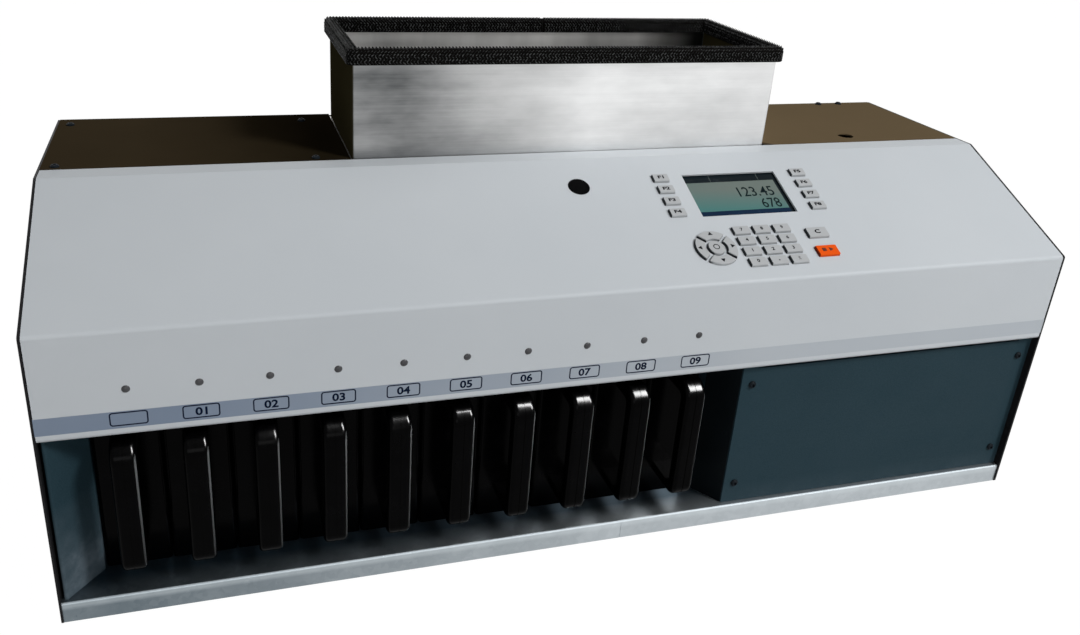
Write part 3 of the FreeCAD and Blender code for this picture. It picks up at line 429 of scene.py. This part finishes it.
def roof_enamel(name, dark, light):
    """Dark brown powder coat, painted darker beside the hopper and paler towards the right end.

    The tones stand in for light on the roof sheets. The back sheet has the same finish.
    """
    material, graph, shader = new_finish(name, Specular_IOR_Level=0.0)
    coat = powder_coat(graph, 0.0011)
    left = HOPPER_LOW.x
    paler = graph.ramp(across(graph, left, HOPPER_HIGH.x), 0.0, 1.0, 0.24, 1.08)
    darker = graph.times(across(graph, left - 0.20, left - 0.01), 0.20)
    tone = graph.math("ADD", graph.math("SUBTRACT", paler, darker), graph.times(coat["Tone"], 0.06))
    graph.feed(shader.inputs["Base Color"], graph.mix(tone, dark, light))
    add_gloss(graph, shader, handling_marks(graph, 0.09, 0.8), 0.5, (0.34, 0.5))
    add_bump(graph, shader, coat["Height"], 0.00005)
    return material


def moulded_plastic(name, dark, light, pebble, relief, gloss, flank_shade=None, **constants):
    """Moulded plastic with a fine grain and smoother patches; a key's left flank gets painted shade."""
    material, graph, shader = new_finish(name, **constants)
    marks = handling_marks(graph, 0.03)
    colour = graph.mix(marks, dark, light)
    if flank_shade:
        # Painted shade on the key's left flank
        colour = graph.mix(facing(graph, LEFT, 0.45, 0.65), colour, flank_shade)
    graph.feed(shader.inputs["Base Color"], colour)
    add_gloss(graph, shader, marks, 0.6, gloss)
    add_bump(graph, shader, powder_coat(graph, pebble)["Height"], relief)
    return material


def braid_rubber(name, dark, light):
    """Ribbed rubber with pale specks, which stand in for light on its raised stitches."""
    material, graph, shader = new_finish(name, Specular_IOR_Level=0.04, Roughness=0.45)
    specks = graph.ramp(graph.noise(graph.place(), 520.0, 1.0, 0.5), 0.46, 0.62)
    top = facing(graph, UP_FRONT, 0.2, 0.9)
    painted_highlight = graph.times(specks, graph.ramp(top, 0.0, 1.0, 0.45, 1.0))
    graph.feed(shader.inputs["Base Color"], graph.mix(painted_highlight, dark, light))
    add_bump(graph, shader, specks, 0.00005)
    return material


def lcd_colours(name, grey_green, teal):
    """Reflective screen: grey-green at the top, running to teal at the lower left."""
    material, graph, shader = new_finish(name, Roughness=0.22, Specular_IOR_Level=0.1, Emission_Strength=0.10)
    low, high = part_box("display_module")
    downward = graph.math("SUBTRACT", 1.0, graph.ramp(graph.axis("Z"), low.z + 0.008, high.z - 0.012))
    leftward = graph.math("SUBTRACT", 1.0, across(graph, low.x, high.x))
    weave = graph.noise(graph.place(), 1500.0, 1.0)
    amount = graph.weighted((downward, 0.8), (leftward, 0.2), (weave, 0.06))
    colour = graph.mix(graph.ramp(amount, 0.15, 0.75), grey_green, teal)
    graph.feed(shader.inputs["Base Color"], colour)
    graph.feed(shader.inputs["Emission Color"], colour)
    return material


# Each finish has its dark and light colours. Paints and plastics then have the pebble size, the
# depth of the relief and the range of roughness, and metals the stretch and cloud size of the grain first.
FINISHES = {
    "cover_paint": powder_paint("cover_paint", (0.530, 0.562, 0.590), (0.556, 0.586, 0.612),
                                0.0010, 0.00005, (0.44, 0.56), Specular_IOR_Level=0.2),
    "roof_paint": roof_enamel("roof_paint", (0.0050, 0.0038, 0.0016), (0.157, 0.114, 0.065)),
    "side_paint": powder_paint("side_paint", (0.010, 0.010, 0.011), (0.014, 0.014, 0.015),
                               0.0011, 0.00005, (0.38, 0.52), Specular_IOR_Level=0.06),
    "slate_paint": dusty_slate("slate_paint", (0.014, 0.033, 0.043), (0.026, 0.050, 0.064),
                               (0.115, 0.145, 0.170)),
    "galvanised_sheet": zinc_sheet("galvanised_sheet", (0.105, 0.135, 0.155), (0.50, 0.54, 0.565)),
    "stainless": hopper_steel("stainless", (0.050, 0.054, 0.056), (0.93, 0.935, 0.935),
                              (0.055, 0.046, 0.022), (0.86, 0.85, 0.83)),
    "edge_rubber": moulded_plastic("edge_rubber", (0.0035, 0.0033, 0.003), (0.0065, 0.006, 0.0055),
                                   0.0012, 0.00006, (0.36, 0.5), Specular_IOR_Level=0.01),
    "box_plastic": handle_plastic("box_plastic", (0.0004, 0.0004, 0.0005), (0.0012, 0.0012, 0.0014),
                                  (0.13, 0.135, 0.14)),
    "key_grey": moulded_plastic("key_grey", (0.430, 0.443, 0.452), (0.470, 0.483, 0.492), 0.0006, 0.00002,
                                (0.5, 0.62), (0.022, 0.026, 0.030), Specular_IOR_Level=0.12),
    "key_orange": moulded_plastic("key_orange", (0.80, 0.088, 0.003), (0.86, 0.105, 0.006), 0.0006, 0.00002,
                                  (0.42, 0.55), (0.16, 0.016, 0.003), Specular_IOR_Level=0.08),
    "display_face": moulded_plastic("display_face", (0.006, 0.010, 0.013), (0.010, 0.016, 0.019),
                                    0.0008, 0.00001, (0.2, 0.3), Specular_IOR_Level=0.06),
    "lamp_lens": moulded_plastic("lamp_lens", (0.045, 0.045, 0.048), (0.075, 0.075, 0.08),
                                 0.0005, 0.00001, (0.25, 0.35), Specular_IOR_Level=0.25),
    "plug_plastic": moulded_plastic("plug_plastic", (0.0006, 0.0006, 0.0007), (0.0014, 0.0014, 0.0016),
                                    0.0006, 0.00002, (0.4, 0.5), Specular_IOR_Level=0.01),
    "screw_black": moulded_plastic("screw_black", (0.008, 0.011, 0.014), (0.018, 0.023, 0.028),
                                   0.0006, 0.00002, (0.34, 0.44), Specular_IOR_Level=0.03),
    "deck_aluminium": brushed_metal("deck_aluminium", (0.52, 0.53, 0.54), (0.68, 0.69, 0.70),
                                    (4.0, 500.0, 500.0), 0.08, 0.00002, (0.3, 0.42)),
    "disc_steel": brushed_metal("disc_steel", (0.45, 0.45, 0.45), (0.62, 0.62, 0.61),
                                (180.0, 180.0, 180.0), 0.03, 0.00002, (0.22, 0.34)),
    "roller_steel": brushed_metal("roller_steel", (0.42, 0.42, 0.42), (0.58, 0.58, 0.57),
                                  (300.0, 6.0, 300.0), 0.05, 0.00002, (0.24, 0.36)),
    "belt_rubber": moulded_plastic("belt_rubber", (0.022, 0.030, 0.026), (0.034, 0.044, 0.038),
                                   0.0015, 0.0002, (0.6, 0.75)),
    "chute_plastic": moulded_plastic("chute_plastic", (0.05, 0.052, 0.055), (0.07, 0.072, 0.075),
                                     0.0008, 0.00003, (0.4, 0.5)),
    "inlet_plastic": moulded_plastic("inlet_plastic", (0.009, 0.009, 0.009), (0.014, 0.014, 0.014),
                                     0.0006, 0.00002, (0.35, 0.5)),
    "foot_rubber": moulded_plastic("foot_rubber", (0.012, 0.012, 0.012), (0.022, 0.022, 0.022),
                                   0.0012, 0.0001, (0.6, 0.75)),
}
BAND_INK = printed_band("band_ink", (0.150, 0.198, 0.276), (0.435, 0.47, 0.505))
LINE_INK = powder_paint("line_ink", (0.003, 0.007, 0.022), (0.005, 0.010, 0.028),
                        0.0008, 0.00002, (0.4, 0.5), Specular_IOR_Level=0.02)
LEGEND_INK = powder_paint("legend_ink", (0.006, 0.006, 0.008), (0.010, 0.010, 0.012),
                          0.0006, 0.00001, (0.4, 0.5), Specular_IOR_Level=0.02)
START_INK = powder_paint("start_ink", (0.09, 0.012, 0.004), (0.12, 0.018, 0.006),
                         0.0006, 0.00001, (0.4, 0.5), Specular_IOR_Level=0.2)
BRAID = braid_rubber("braid", (0.004, 0.004, 0.004), (0.105, 0.107, 0.108))
SCREEN_LIT = lcd_colours("screen_lit", SCREEN_GREY_GREEN, SCREEN_TEAL)
SCREEN_BAR = moulded_plastic("screen_bar", (0.005, 0.010, 0.013), (0.008, 0.014, 0.018),
                             0.0006, 0.00001, (0.2, 0.3), Specular_IOR_Level=0.03)
SCREEN_NAVY = moulded_plastic("screen_navy", (0.005, 0.018, 0.046), (0.008, 0.026, 0.058),
                              0.0006, 0.00001, (0.2, 0.3), Specular_IOR_Level=0.03)
SCREEN_INK = moulded_plastic("screen_ink", (0.003, 0.010, 0.012), (0.006, 0.014, 0.016),
                             0.0006, 0.00001, (0.25, 0.35), Specular_IOR_Level=0.03)

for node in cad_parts.values():
    for material_slot in node.material_slots:
        material_slot.material = FINISHES[material_slot.material.name.split(".")[0]]


# ---------------------------------------------------------------- making pieces

def mesh_piece(name, mesh):
    piece = bpy.data.objects.new(name, mesh)
    bpy.context.scene.collection.objects.link(piece)
    return piece


def finish_piece(piece, body, material, matrix):
    """Put a mesh where it belongs, give it its material and let it ride on its body."""
    piece.data.transform(matrix)
    piece.data.materials.clear()
    piece.data.materials.append(material)
    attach(piece, body)


def plate_mesh(name, outlines, thickness=PRINT_T):
    """Closed plates through 2-D outlines, drawn as faces on top, underside and edges."""
    points, faces = [], []
    for outline in outlines:
        start, count = len(points), len(outline)
        points += [(x, y, thickness) for x, y in outline]
        points += [(x, y, 0.0) for x, y in outline]
        faces.append([start + i for i in range(count)])
        faces.append([start + count + i for i in reversed(range(count))])
        for i in range(count):
            j = (i + 1) % count
            faces.append([start + j, start + i, start + count + i, start + count + j])
    mesh = bpy.data.meshes.new(name)
    mesh.from_pydata(points, [], faces)
    return mesh


def rectangle(width, height, x=0.0, y=0.0):
    w, h = width / 2, height / 2
    return [(x - w, y - h), (x + w, y - h), (x + w, y + h), (x - w, y + h)]


def plain_mesh(piece):
    """Mesh of an object as it is evaluated, with text and modifiers worked out."""
    depsgraph = bpy.context.evaluated_depsgraph_get()
    return bpy.data.meshes.new_from_object(piece.evaluated_get(depsgraph))


def letters_mesh(name, text, height, squeeze, weight):
    """Solid mesh of a few figures of one exact height, centred on its own middle."""
    curve = bpy.data.curves.new(name + "_curve", "FONT")
    curve.body = text
    curve.size = 1.0
    curve.offset = weight
    curve.extrude = 0.5
    curve.resolution_u = 3
    curve.align_x = "CENTER"
    writer = mesh_piece(name + "_writer", curve)
    mesh = plain_mesh(writer)
    bpy.data.objects.remove(writer)
    xs = [v.co.x for v in mesh.vertices]
    ys = [v.co.y for v in mesh.vertices]
    middle = Vector(((min(xs) + max(xs)) / 2, (min(ys) + max(ys)) / 2, -curve.extrude))
    size = height / (max(ys) - min(ys))
    mesh.transform(Matrix.Diagonal((size * squeeze, size, PRINT_T, 1)) @ Matrix.Translation(-middle))
    return mesh


# ---------------------------------------------------------------- Geometry Nodes pieces

INTEGER, MATERIAL = "NodeSocketInt", "NodeSocketMaterial"


def growth_tree(name, inputs):
    """Empty geometry tree with named inputs and one geometry output."""
    return group_tree("GeometryNodeTree", name, inputs, [("Geometry", "NodeSocketGeometry")])


def close_tree(graph, wanted, geometry, material):
    real = graph.add("GeometryNodeRealizeInstances", {"Geometry": geometry})
    painted = graph.add("GeometryNodeSetMaterial", {"Geometry": real.outputs[0], "Material": material})
    graph.feed(wanted["Geometry"], painted.outputs[0])


def grow_piece(name, tree, values):
    """Plain mesh object grown by one geometry tree."""
    piece = mesh_piece(name, bpy.data.meshes.new(name + "_seed"))
    growth = piece.modifiers.new("growth", "NODES")
    growth.node_group = tree
    for item in tree.interface.items_tree:
        if item.in_out == "INPUT" and item.name in values:
            growth[item.identifier] = values[item.name]
    mesh = plain_mesh(piece)
    piece.modifiers.clear()
    piece.data = mesh
    return piece


def quadrilateral(graph, width, height):
    return graph.add("GeometryNodeCurvePrimitiveQuadrilateral", {"Width": width, "Height": height}).outputs[0]


def rounded_frame(graph, width, height, corner, arc_points, limit):
    """Rectangle curve with round corners; limit keeps neighbouring corners from meeting."""
    inputs = {"Curve": quadrilateral(graph, width, height), "Radius": corner, "Count": arc_points,
              "Limit Radius": limit}
    return graph.add("GeometryNodeFilletCurve", inputs, mode="POLY").outputs[0]


def make_label_row():
    """Row of rounded label frames, each a thin closed line."""
    graph, given, wanted = growth_tree("label_row", [
        ("Count", INTEGER, 10), ("Pitch", FLOAT, 0.06), ("Width", FLOAT, 0.03), ("Height", FLOAT, 0.012),
        ("Corner", FLOAT, 0.002), ("Line", FLOAT, 0.0006), ("Thickness", FLOAT, 0.00006),
        ("Ink", MATERIAL, None)])
    outline = rounded_frame(graph, given["Width"], given["Height"], given["Corner"], 5, True)
    line = quadrilateral(graph, given["Line"], given["Thickness"])
    swept = graph.add("GeometryNodeCurveToMesh", {"Curve": outline, "Profile Curve": line})
    step = graph.add("ShaderNodeCombineXYZ", {"X": given["Pitch"]})
    row = graph.add("GeometryNodeMeshLine", {"Count": given["Count"], "Offset": step.outputs[0]})
    placed = graph.add("GeometryNodeInstanceOnPoints", {
        "Points": row.outputs[0], "Instance": swept.outputs[0]})
    close_tree(graph, wanted, placed.outputs[0], given["Ink"])
    return graph.tree


def make_braid_row():
    """One row of slanted stitches round the hopper's edge sleeve, open at the sleeve's joint."""
    graph, given, wanted = growth_tree("braid_row", [
        ("Width", FLOAT, 0.49), ("Depth", FLOAT, 0.18), ("Corner", FLOAT, 0.009), ("Pitch", FLOAT, 0.0026),
        ("Stitch", VECTOR, (0.0026, 0.0009, 0.0014)), ("Lean", FLOAT, 0.0), ("Slant", FLOAT, 0.6),
        ("Seam X", FLOAT, 0.0), ("Seam Gap", FLOAT, 0.0015), ("Rubber", MATERIAL, None)])
    outline = rounded_frame(graph, given["Width"], given["Depth"], given["Corner"], 6, False)
    steps = graph.add("GeometryNodeCurveToPoints", {"Curve": outline, "Length": given["Pitch"]},
                      mode="LENGTH")
    position = graph.add("GeometryNodeInputPosition").outputs[0]
    split = graph.add("ShaderNodeSeparateXYZ", {0: position}).outputs
    offset = graph.math("ABSOLUTE", graph.math("SUBTRACT", split["X"], given["Seam X"]))
    near_seam = graph.math("LESS_THAN", offset, given["Seam Gap"])
    at_seam = graph.times(near_seam, graph.math("GREATER_THAN", split["Y"], 0.0))
    kept = graph.add("GeometryNodeDeleteGeometry", {
        "Geometry": steps.outputs["Points"], "Selection": at_seam})
    along = graph.add("FunctionNodeAlignRotationToVector", {"Vector": steps.outputs["Tangent"]},
                      axis="X", pivot_axis="Z")
    turn = graph.add("ShaderNodeCombineXYZ", {"X": given["Lean"], "Y": given["Slant"]})
    turned = graph.add("FunctionNodeEulerToRotation", {"Euler": turn.outputs[0]})
    laid = graph.add("FunctionNodeRotateRotation", {
        "Rotation": along.outputs[0], "Rotate By": turned.outputs[0]}, rotation_space="LOCAL")
    stitch = graph.add("GeometryNodeMeshCube", {"Size": given["Stitch"]})
    placed = graph.add("GeometryNodeInstanceOnPoints", {
        "Points": kept.outputs[0], "Instance": stitch.outputs["Mesh"], "Rotation": laid.outputs[0]})
    close_tree(graph, wanted, placed.outputs[0], given["Rubber"])
    return graph.tree


# ---------------------------------------------------------------- printed band and labels

LAMPS_LOW, LAMPS_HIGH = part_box("indicator_lenses")
LAMP_SIZE = LAMPS_HIGH.z - LAMPS_LOW.z
LABEL_X0 = LAMPS_LOW.x + LAMP_SIZE / 2
LABEL_PITCH = (LAMPS_HIGH.x - LAMPS_LOW.x - LAMP_SIZE) / (CHANNELS - 1)
LABEL_Z = COVER_LOW.z + 0.0172
LABEL_SIZE = (0.0307, 0.0125)
LABEL_CORNER = 0.0022
LABEL_LINE = 0.0012
NUMBER_HEIGHT = 0.0083
BAND_Z = (COVER_LOW.z + 0.0080, COVER_LOW.z + 0.02495)
BAND_SIDE_GAP = 0.0018


def make_channel_band():
    width = COVER_HIGH.x - COVER_LOW.x - 2 * BAND_SIDE_GAP
    outline = rectangle(width, BAND_Z[1] - BAND_Z[0])
    band = mesh_piece("channel_band", plate_mesh("channel_band", [outline]))
    finish_piece(band, "cover", BAND_INK, front_place(0, sum(BAND_Z) / 2, PRINT_GAP))

    frames = grow_piece("channel_frames", make_label_row(), {
        "Count": CHANNELS, "Pitch": LABEL_PITCH, "Width": LABEL_SIZE[0], "Height": LABEL_SIZE[1],
        "Corner": LABEL_CORNER, "Line": LABEL_LINE, "Thickness": PRINT_T, "Ink": LINE_INK})
    over_band = PRINT_GAP + PRINT_T
    frame_place = front_place(LABEL_X0, LABEL_Z, over_band + PRINT_T / 2)
    finish_piece(frames, "cover", LINE_INK, frame_place)

    for index in range(1, CHANNELS):
        name = f"channel_number_{index}"
        figures = mesh_piece(name, letters_mesh(name, f"{index:02d}", NUMBER_HEIGHT, 1.15, 0.03))
        x = LABEL_X0 + LABEL_PITCH * index
        finish_piece(figures, "cover", LINE_INK, front_place(x, LABEL_Z, over_band))


# ---------------------------------------------------------------- key legends

LEGEND_GAP = 0.00001
DIGIT_HEIGHT = 0.0043
FUNCTION_HEIGHT = 0.0046
CLEAR_HEIGHT = 0.0056
ARROW_SIZE = 0.0044
ARROW_RING_R = 0.0183
OK_RING_R = (0.0026, 0.0036)
OK_RING_STEP = 15  # degrees
SIGN_LINE = (0.0030, 0.0006)
POINT_SIZE = 0.0014
STOP_SIZE = 0.0046


def triangle(size, turn):
    corners = [(0, size * 0.6), (-size * 0.6, -size * 0.4), (size * 0.6, -size * 0.4)]
    c, s = math.cos(turn), math.sin(turn)
    return [(x * c - y * s, x * s + y * c) for x, y in corners]


def ring_plates(inner, outer, step):
    """Outlines of the short plates that close into a ring, each one step of degrees long."""
    def at(degrees, radius):
        angle = math.radians(degrees)
        return math.cos(angle) * radius, math.sin(angle) * radius

    return [[at(t, outer), at(t + step, outer), at(t + step, inner), at(t, inner)]
            for t in range(0, 360, step)]


def key_middle(node):
    """Where a key's middle lies on the slope, as x and d."""
    low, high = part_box(node)
    middle = (low + high) / 2
    y = middle.y - COVER_LOW.y
    z = middle.z - BEND_Z
    return middle.x, y * math.cos(SLOPE_ANGLE) + z * math.sin(SLOPE_ANGLE)


def add_legend(node, mesh, material=None, centre=None):
    """Print a legend on a key, at the key's own middle unless a centre is given."""
    x, d = centre or key_middle(node)
    piece = mesh_piece(node.replace("_key", "") + "_legend", mesh)
    place = slope_place(x, d, KEY_TOP + LEGEND_GAP)
    finish_piece(piece, node, material or LEGEND_INK, place)


def make_key_legends():
    for figure in range(10):
        node = f"digit_{figure}_key"
        add_legend(node, letters_mesh(node, str(figure), DIGIT_HEIGHT, 1.1, 0.03))

    add_legend("point_key", plate_mesh("point", [rectangle(POINT_SIZE, POINT_SIZE, 0, -0.0012)]))
    width, line = SIGN_LINE
    plus_and_minus = [rectangle(width, line, 0, 0.0006), rectangle(line, 2 * line, 0, 0.0015),
                      rectangle(line, 2 * line, 0, -0.0003), rectangle(width, line, 0, -0.0019)]
    add_legend("sign_key", plate_mesh("sign", plus_and_minus))
    add_legend("clear_key", letters_mesh("clear", "C", CLEAR_HEIGHT, 1.3, 0.04))
    stop_and_start = [rectangle(STOP_SIZE, STOP_SIZE, -0.0042, 0),
                      [(0.0020, -0.0028), (0.0068, 0.0), (0.0020, 0.0028)]]
    add_legend("start_key", plate_mesh("start", stop_and_start), START_INK)

    for number in range(1, 5):
        for side, label in (("left", number), ("right", number + 4)):
            node = f"{side}_function_key_{number}"
            add_legend(node, letters_mesh(node, f"F{label}", FUNCTION_HEIGHT, 1.5, 0.04))

    ring_x, ring_d = key_middle("ok_key")
    for name, degrees in (("right", 0), ("up", 90), ("left", 180), ("down", 270)):
        turn = math.radians(degrees)
        arrow = plate_mesh(name, [triangle(ARROW_SIZE, turn - math.pi / 2)])
        centre = (ring_x + ARROW_RING_R * math.cos(turn), ring_d + ARROW_RING_R * math.sin(turn))
        add_legend(f"nav_{name}_key", arrow, centre=centre)
    add_legend("ok_key", plate_mesh("ok", ring_plates(*OK_RING_R, OK_RING_STEP)))


# ---------------------------------------------------------------- screen

DISPLAY_LOW, DISPLAY_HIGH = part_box("display_module")
SCREEN_SIDE = 0.0050  # from the display's edge to the screen
SCREEN_X = (DISPLAY_LOW.x + SCREEN_SIDE, DISPLAY_HIGH.x - SCREEN_SIDE)
SCREEN_D = (0.0922, 0.1568)
SCREEN_BAR_H = 0.0108
SCREEN_BAR_GAP = 0.0006
SCREEN_NAVY_H = 0.0092
SCREEN_EDGE_W = 0.0045
SCREEN_T = 0.0002
SCREEN_GAP = 0.00005  # the lit face's underside off the display
SCREEN_LAYER = 0.0001  # the bars' undersides over the lit face's underside
DIVIDER_X = (-0.022, 0.037)  # from the middle of the top bar
DIVIDER_W = 0.0004
FIGURE_HEIGHT = 0.0146
# name, text, x and d of its middle, and how far it is squeezed
FIGURES = (("screen_amount", "123.45", 0.2035, 0.1290, 0.86), ("screen_count", "678", 0.2145, 0.1107, 0.78))


def screen_plate(name, x0, x1, d0, d1, h, material):
    piece = mesh_piece(name, plate_mesh(name, [rectangle(x1 - x0, d1 - d0)], SCREEN_T))
    finish_piece(piece, "cover", material, slope_place((x0 + x1) / 2, (d0 + d1) / 2, h))


def make_screen():
    left, right = SCREEN_X[0], SCREEN_X[1] - SCREEN_EDGE_W
    low, high = SCREEN_D
    base = SCREEN_DEPTH + SCREEN_GAP
    bar = base + SCREEN_LAYER
    screen_plate("screen_face", left, right, low + SCREEN_NAVY_H, high - SCREEN_BAR_H, base, SCREEN_LIT)
    screen_plate("screen_top_bar", left, right, high - SCREEN_BAR_H, high - SCREEN_BAR_GAP, bar, SCREEN_BAR)
    screen_plate("screen_bottom_bar", left, right, low, low + SCREEN_NAVY_H, bar, SCREEN_NAVY)
    dividers = [rectangle(DIVIDER_W, SCREEN_BAR_H * 0.8, x, 0) for x in DIVIDER_X]
    piece = mesh_piece("screen_tabs", plate_mesh("screen_tabs", dividers))
    finish_piece(piece, "cover", SCREEN_LIT,
                 slope_place((left + right) / 2, high - SCREEN_BAR_H / 2, bar + SCREEN_T))
    for name, text, x, d, squeeze in FIGURES:
        figures = mesh_piece(name, letters_mesh(name, text, FIGURE_HEIGHT, squeeze, 0.005))
        place = slope_place(x, d, base + SCREEN_T + PRINT_GAP)
        finish_piece(figures, "cover", SCREEN_INK, place)


# ---------------------------------------------------------------- hopper rim

BRAID_ROW = 0.0028
BRAID_ROWS_UP = 4
BEND_ROWS = (27, 66)  # degrees round the sleeve's top bends
BRAID_PITCH = 0.0036
STITCH_SIZE = (0.0031, 0.0011)
STITCH_T = {"flat": 0.0008, "round": 0.0005}
STITCH_SLANT = 0.75
EDGE_ROUND = 0.0045
EDGE_WALL = 0.0122
EDGE_SEAM_X = 0.0304
EDGE_CORNER_R = 0.009
EDGE_CORNER_LEAST_R = 0.003


def braid_rows():
    """Each row as its inset from the sleeve's outside, its height under the top, and its lean."""
    rows = []
    for inside in (False, True):
        for index in range(BRAID_ROWS_UP):
            drop = EDGE_ROUND + BRAID_ROW * (index + 0.45)
            rows.append((EDGE_WALL if inside else 0.0, drop, math.pi if inside else 0.0))
        for degrees in BEND_ROWS:
            angle = math.radians(degrees)
            inset = EDGE_ROUND * (1 - math.cos(angle))
            drop = EDGE_ROUND * (1 - math.sin(angle))
            rows.append((EDGE_WALL - inset, drop, math.pi + angle) if inside else (inset, drop, -angle))
    rows.append((EDGE_WALL / 2, 0.0, -math.pi / 2))
    return rows


def make_rim():
    low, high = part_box("hopper_edge_trim")
    middle = (low + high) / 2
    tree = make_braid_row()
    for index, (inset, drop, lean) in enumerate(braid_rows()):
        name = f"edge_braid_{index + 1}"
        thickness = STITCH_T["flat" if lean in (0.0, math.pi) else "round"]
        piece = grow_piece(name, tree, {
            "Width": high.x - low.x - 2 * inset, "Depth": high.y - low.y - 2 * inset,
            "Corner": max(EDGE_CORNER_R - inset, EDGE_CORNER_LEAST_R), "Pitch": BRAID_PITCH,
            "Stitch": (*STITCH_SIZE, thickness), "Seam X": EDGE_SEAM_X - middle.x, "Lean": lean,
            "Slant": STITCH_SLANT if index % 2 else -STITCH_SLANT, "Rubber": BRAID})
        place = Matrix.Translation((middle.x, middle.y, high.z - drop))
        finish_piece(piece, "housing", BRAID, place)


make_channel_band()
make_key_legends()
make_screen()
make_rim()


# ---------------------------------------------------------------- floor, light and camera

WHITE = (1, 1, 1)
FLOOR_SIZE = 40.0
FLOOR_T = 0.02
FLOOR_GAP = 0.0005  # the floor's top under the feet
FLOOR_GREYS = ((0.54, 0.54, 0.54), (0.56, 0.56, 0.56))
FLOOR_GLOW = 1.03
FLOOR_GLOW_SHARE = 0.97
SKY_FILL = ((0.95, 0.98, 1), 0.12)


def backdrop_rays(graph):
    """1 for the rays that should meet the white background."""
    path = graph.add("ShaderNodeLightPath").outputs
    seen = graph.math("MAXIMUM", path["Is Camera Ray"], path["Is Glossy Ray"])
    return graph.math("MAXIMUM", seen, path["Is Transmission Ray"])


def make_floor():
    floor = mesh_piece("floor", plate_mesh("floor", [rectangle(FLOOR_SIZE, FLOOR_SIZE)], FLOOR_T))
    floor.data.transform(Matrix.Translation((0, 0, -FLOOR_T - FLOOR_GAP)))
    material, graph, shader = new_finish("floor_paper", Roughness=0.9)
    grain = graph.noise(graph.place(), 40.0, 3.0)
    graph.feed(shader.inputs["Base Color"], graph.mix(grain, *FLOOR_GREYS))
    glow = graph.add("ShaderNodeEmission", {"Color": WHITE, "Strength": FLOOR_GLOW})
    share = graph.times(backdrop_rays(graph), FLOOR_GLOW_SHARE)
    mixed = graph.add("ShaderNodeMixShader", {0: share, 1: shader.outputs[0], 2: glow.outputs[0]})
    graph.feed(material.node_tree.nodes["Material Output"].inputs["Surface"], mixed.outputs[0])
    floor.data.materials.append(material)


def make_world():
    world = bpy.data.worlds.new("studio")
    bpy.context.scene.world = world
    world.use_nodes = True
    graph = Graph(world.node_tree)
    world.node_tree.nodes.remove(world.node_tree.nodes["Background"])
    seen = graph.add("ShaderNodeBackground", {"Color": WHITE, "Strength": 1.0})
    fill = graph.add("ShaderNodeBackground", {"Color": SKY_FILL[0], "Strength": SKY_FILL[1]})
    mixed = graph.add("ShaderNodeMixShader", {
        0: backdrop_rays(graph), 1: fill.outputs[0], 2: seen.outputs[0]})
    graph.feed(world.node_tree.nodes["World Output"].inputs["Surface"], mixed.outputs[0])


def add_softbox(name, place, target, width, height, power):
    lamp = bpy.data.lights.new(name, "AREA")
    lamp.shape = "RECTANGLE"
    lamp.size, lamp.size_y = width, height
    lamp.energy = power
    holder = bpy.data.objects.new(name, lamp)
    bpy.context.scene.collection.objects.link(holder)
    holder.location = place
    holder.rotation_euler = (Vector(target) - Vector(place)).to_track_quat("-Z", "Y").to_euler()
    return holder


def light_only_the_boxes(holder):
    """Keep a lamp to the glossy coin boxes, where it draws the highlights on the handles' bends."""
    boxes = bpy.data.collections.new("lit_boxes")
    for index in range(1, CHANNELS + 1):
        boxes.objects.link(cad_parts[f"coin_box_{index}"])
    holder.light_linking.receiver_collection = boxes
    holder.visible_diffuse = False


def make_lights():
    add_softbox("key_softbox", (1.7, -1.8, 2.5), (0.1, 0, 0.2), 0.6, 0.6, 74.0)
    add_softbox("fill_softbox", (-0.6, -3.2, 1.0), (-0.2, 0, 0.2), 1.6, 1.0, 19.0)
    add_softbox("top_softbox", (-0.2, 0.5, 2.6), (0, 0, 0.3), 1.8, 1.0, 6.0)
    handle_light = add_softbox("handle_softbox", (1.35, -1.65, 2.50), (0.0, -0.1, 0.17), 0.9, 2.0, 3200.0)
    light_only_the_boxes(handle_light)


CAMERA_PLACE = (-0.37265, -0.95049, 0.69161)
CAMERA_DEGREES = (66.626, -3.0146, -16.0104)
CAMERA_LENS = 32.247  # millimetres, on a sensor 36 wide
CAMERA_SHIFT = (0.04655, -0.05382)


def make_camera():
    camera = bpy.data.objects.new("camera", bpy.data.cameras.new("camera"))
    bpy.context.scene.collection.objects.link(camera)
    camera.location = CAMERA_PLACE
    camera.rotation_euler = [math.radians(a) for a in CAMERA_DEGREES]
    camera.data.lens = CAMERA_LENS
    camera.data.sensor_width = 36.0
    camera.data.shift_x, camera.data.shift_y = CAMERA_SHIFT
    camera.data.clip_start = 0.02
    bpy.context.scene.camera = camera


make_floor()
make_world()
make_lights()
make_camera()
bpy.context.scene.view_settings.view_transform = "Standard"
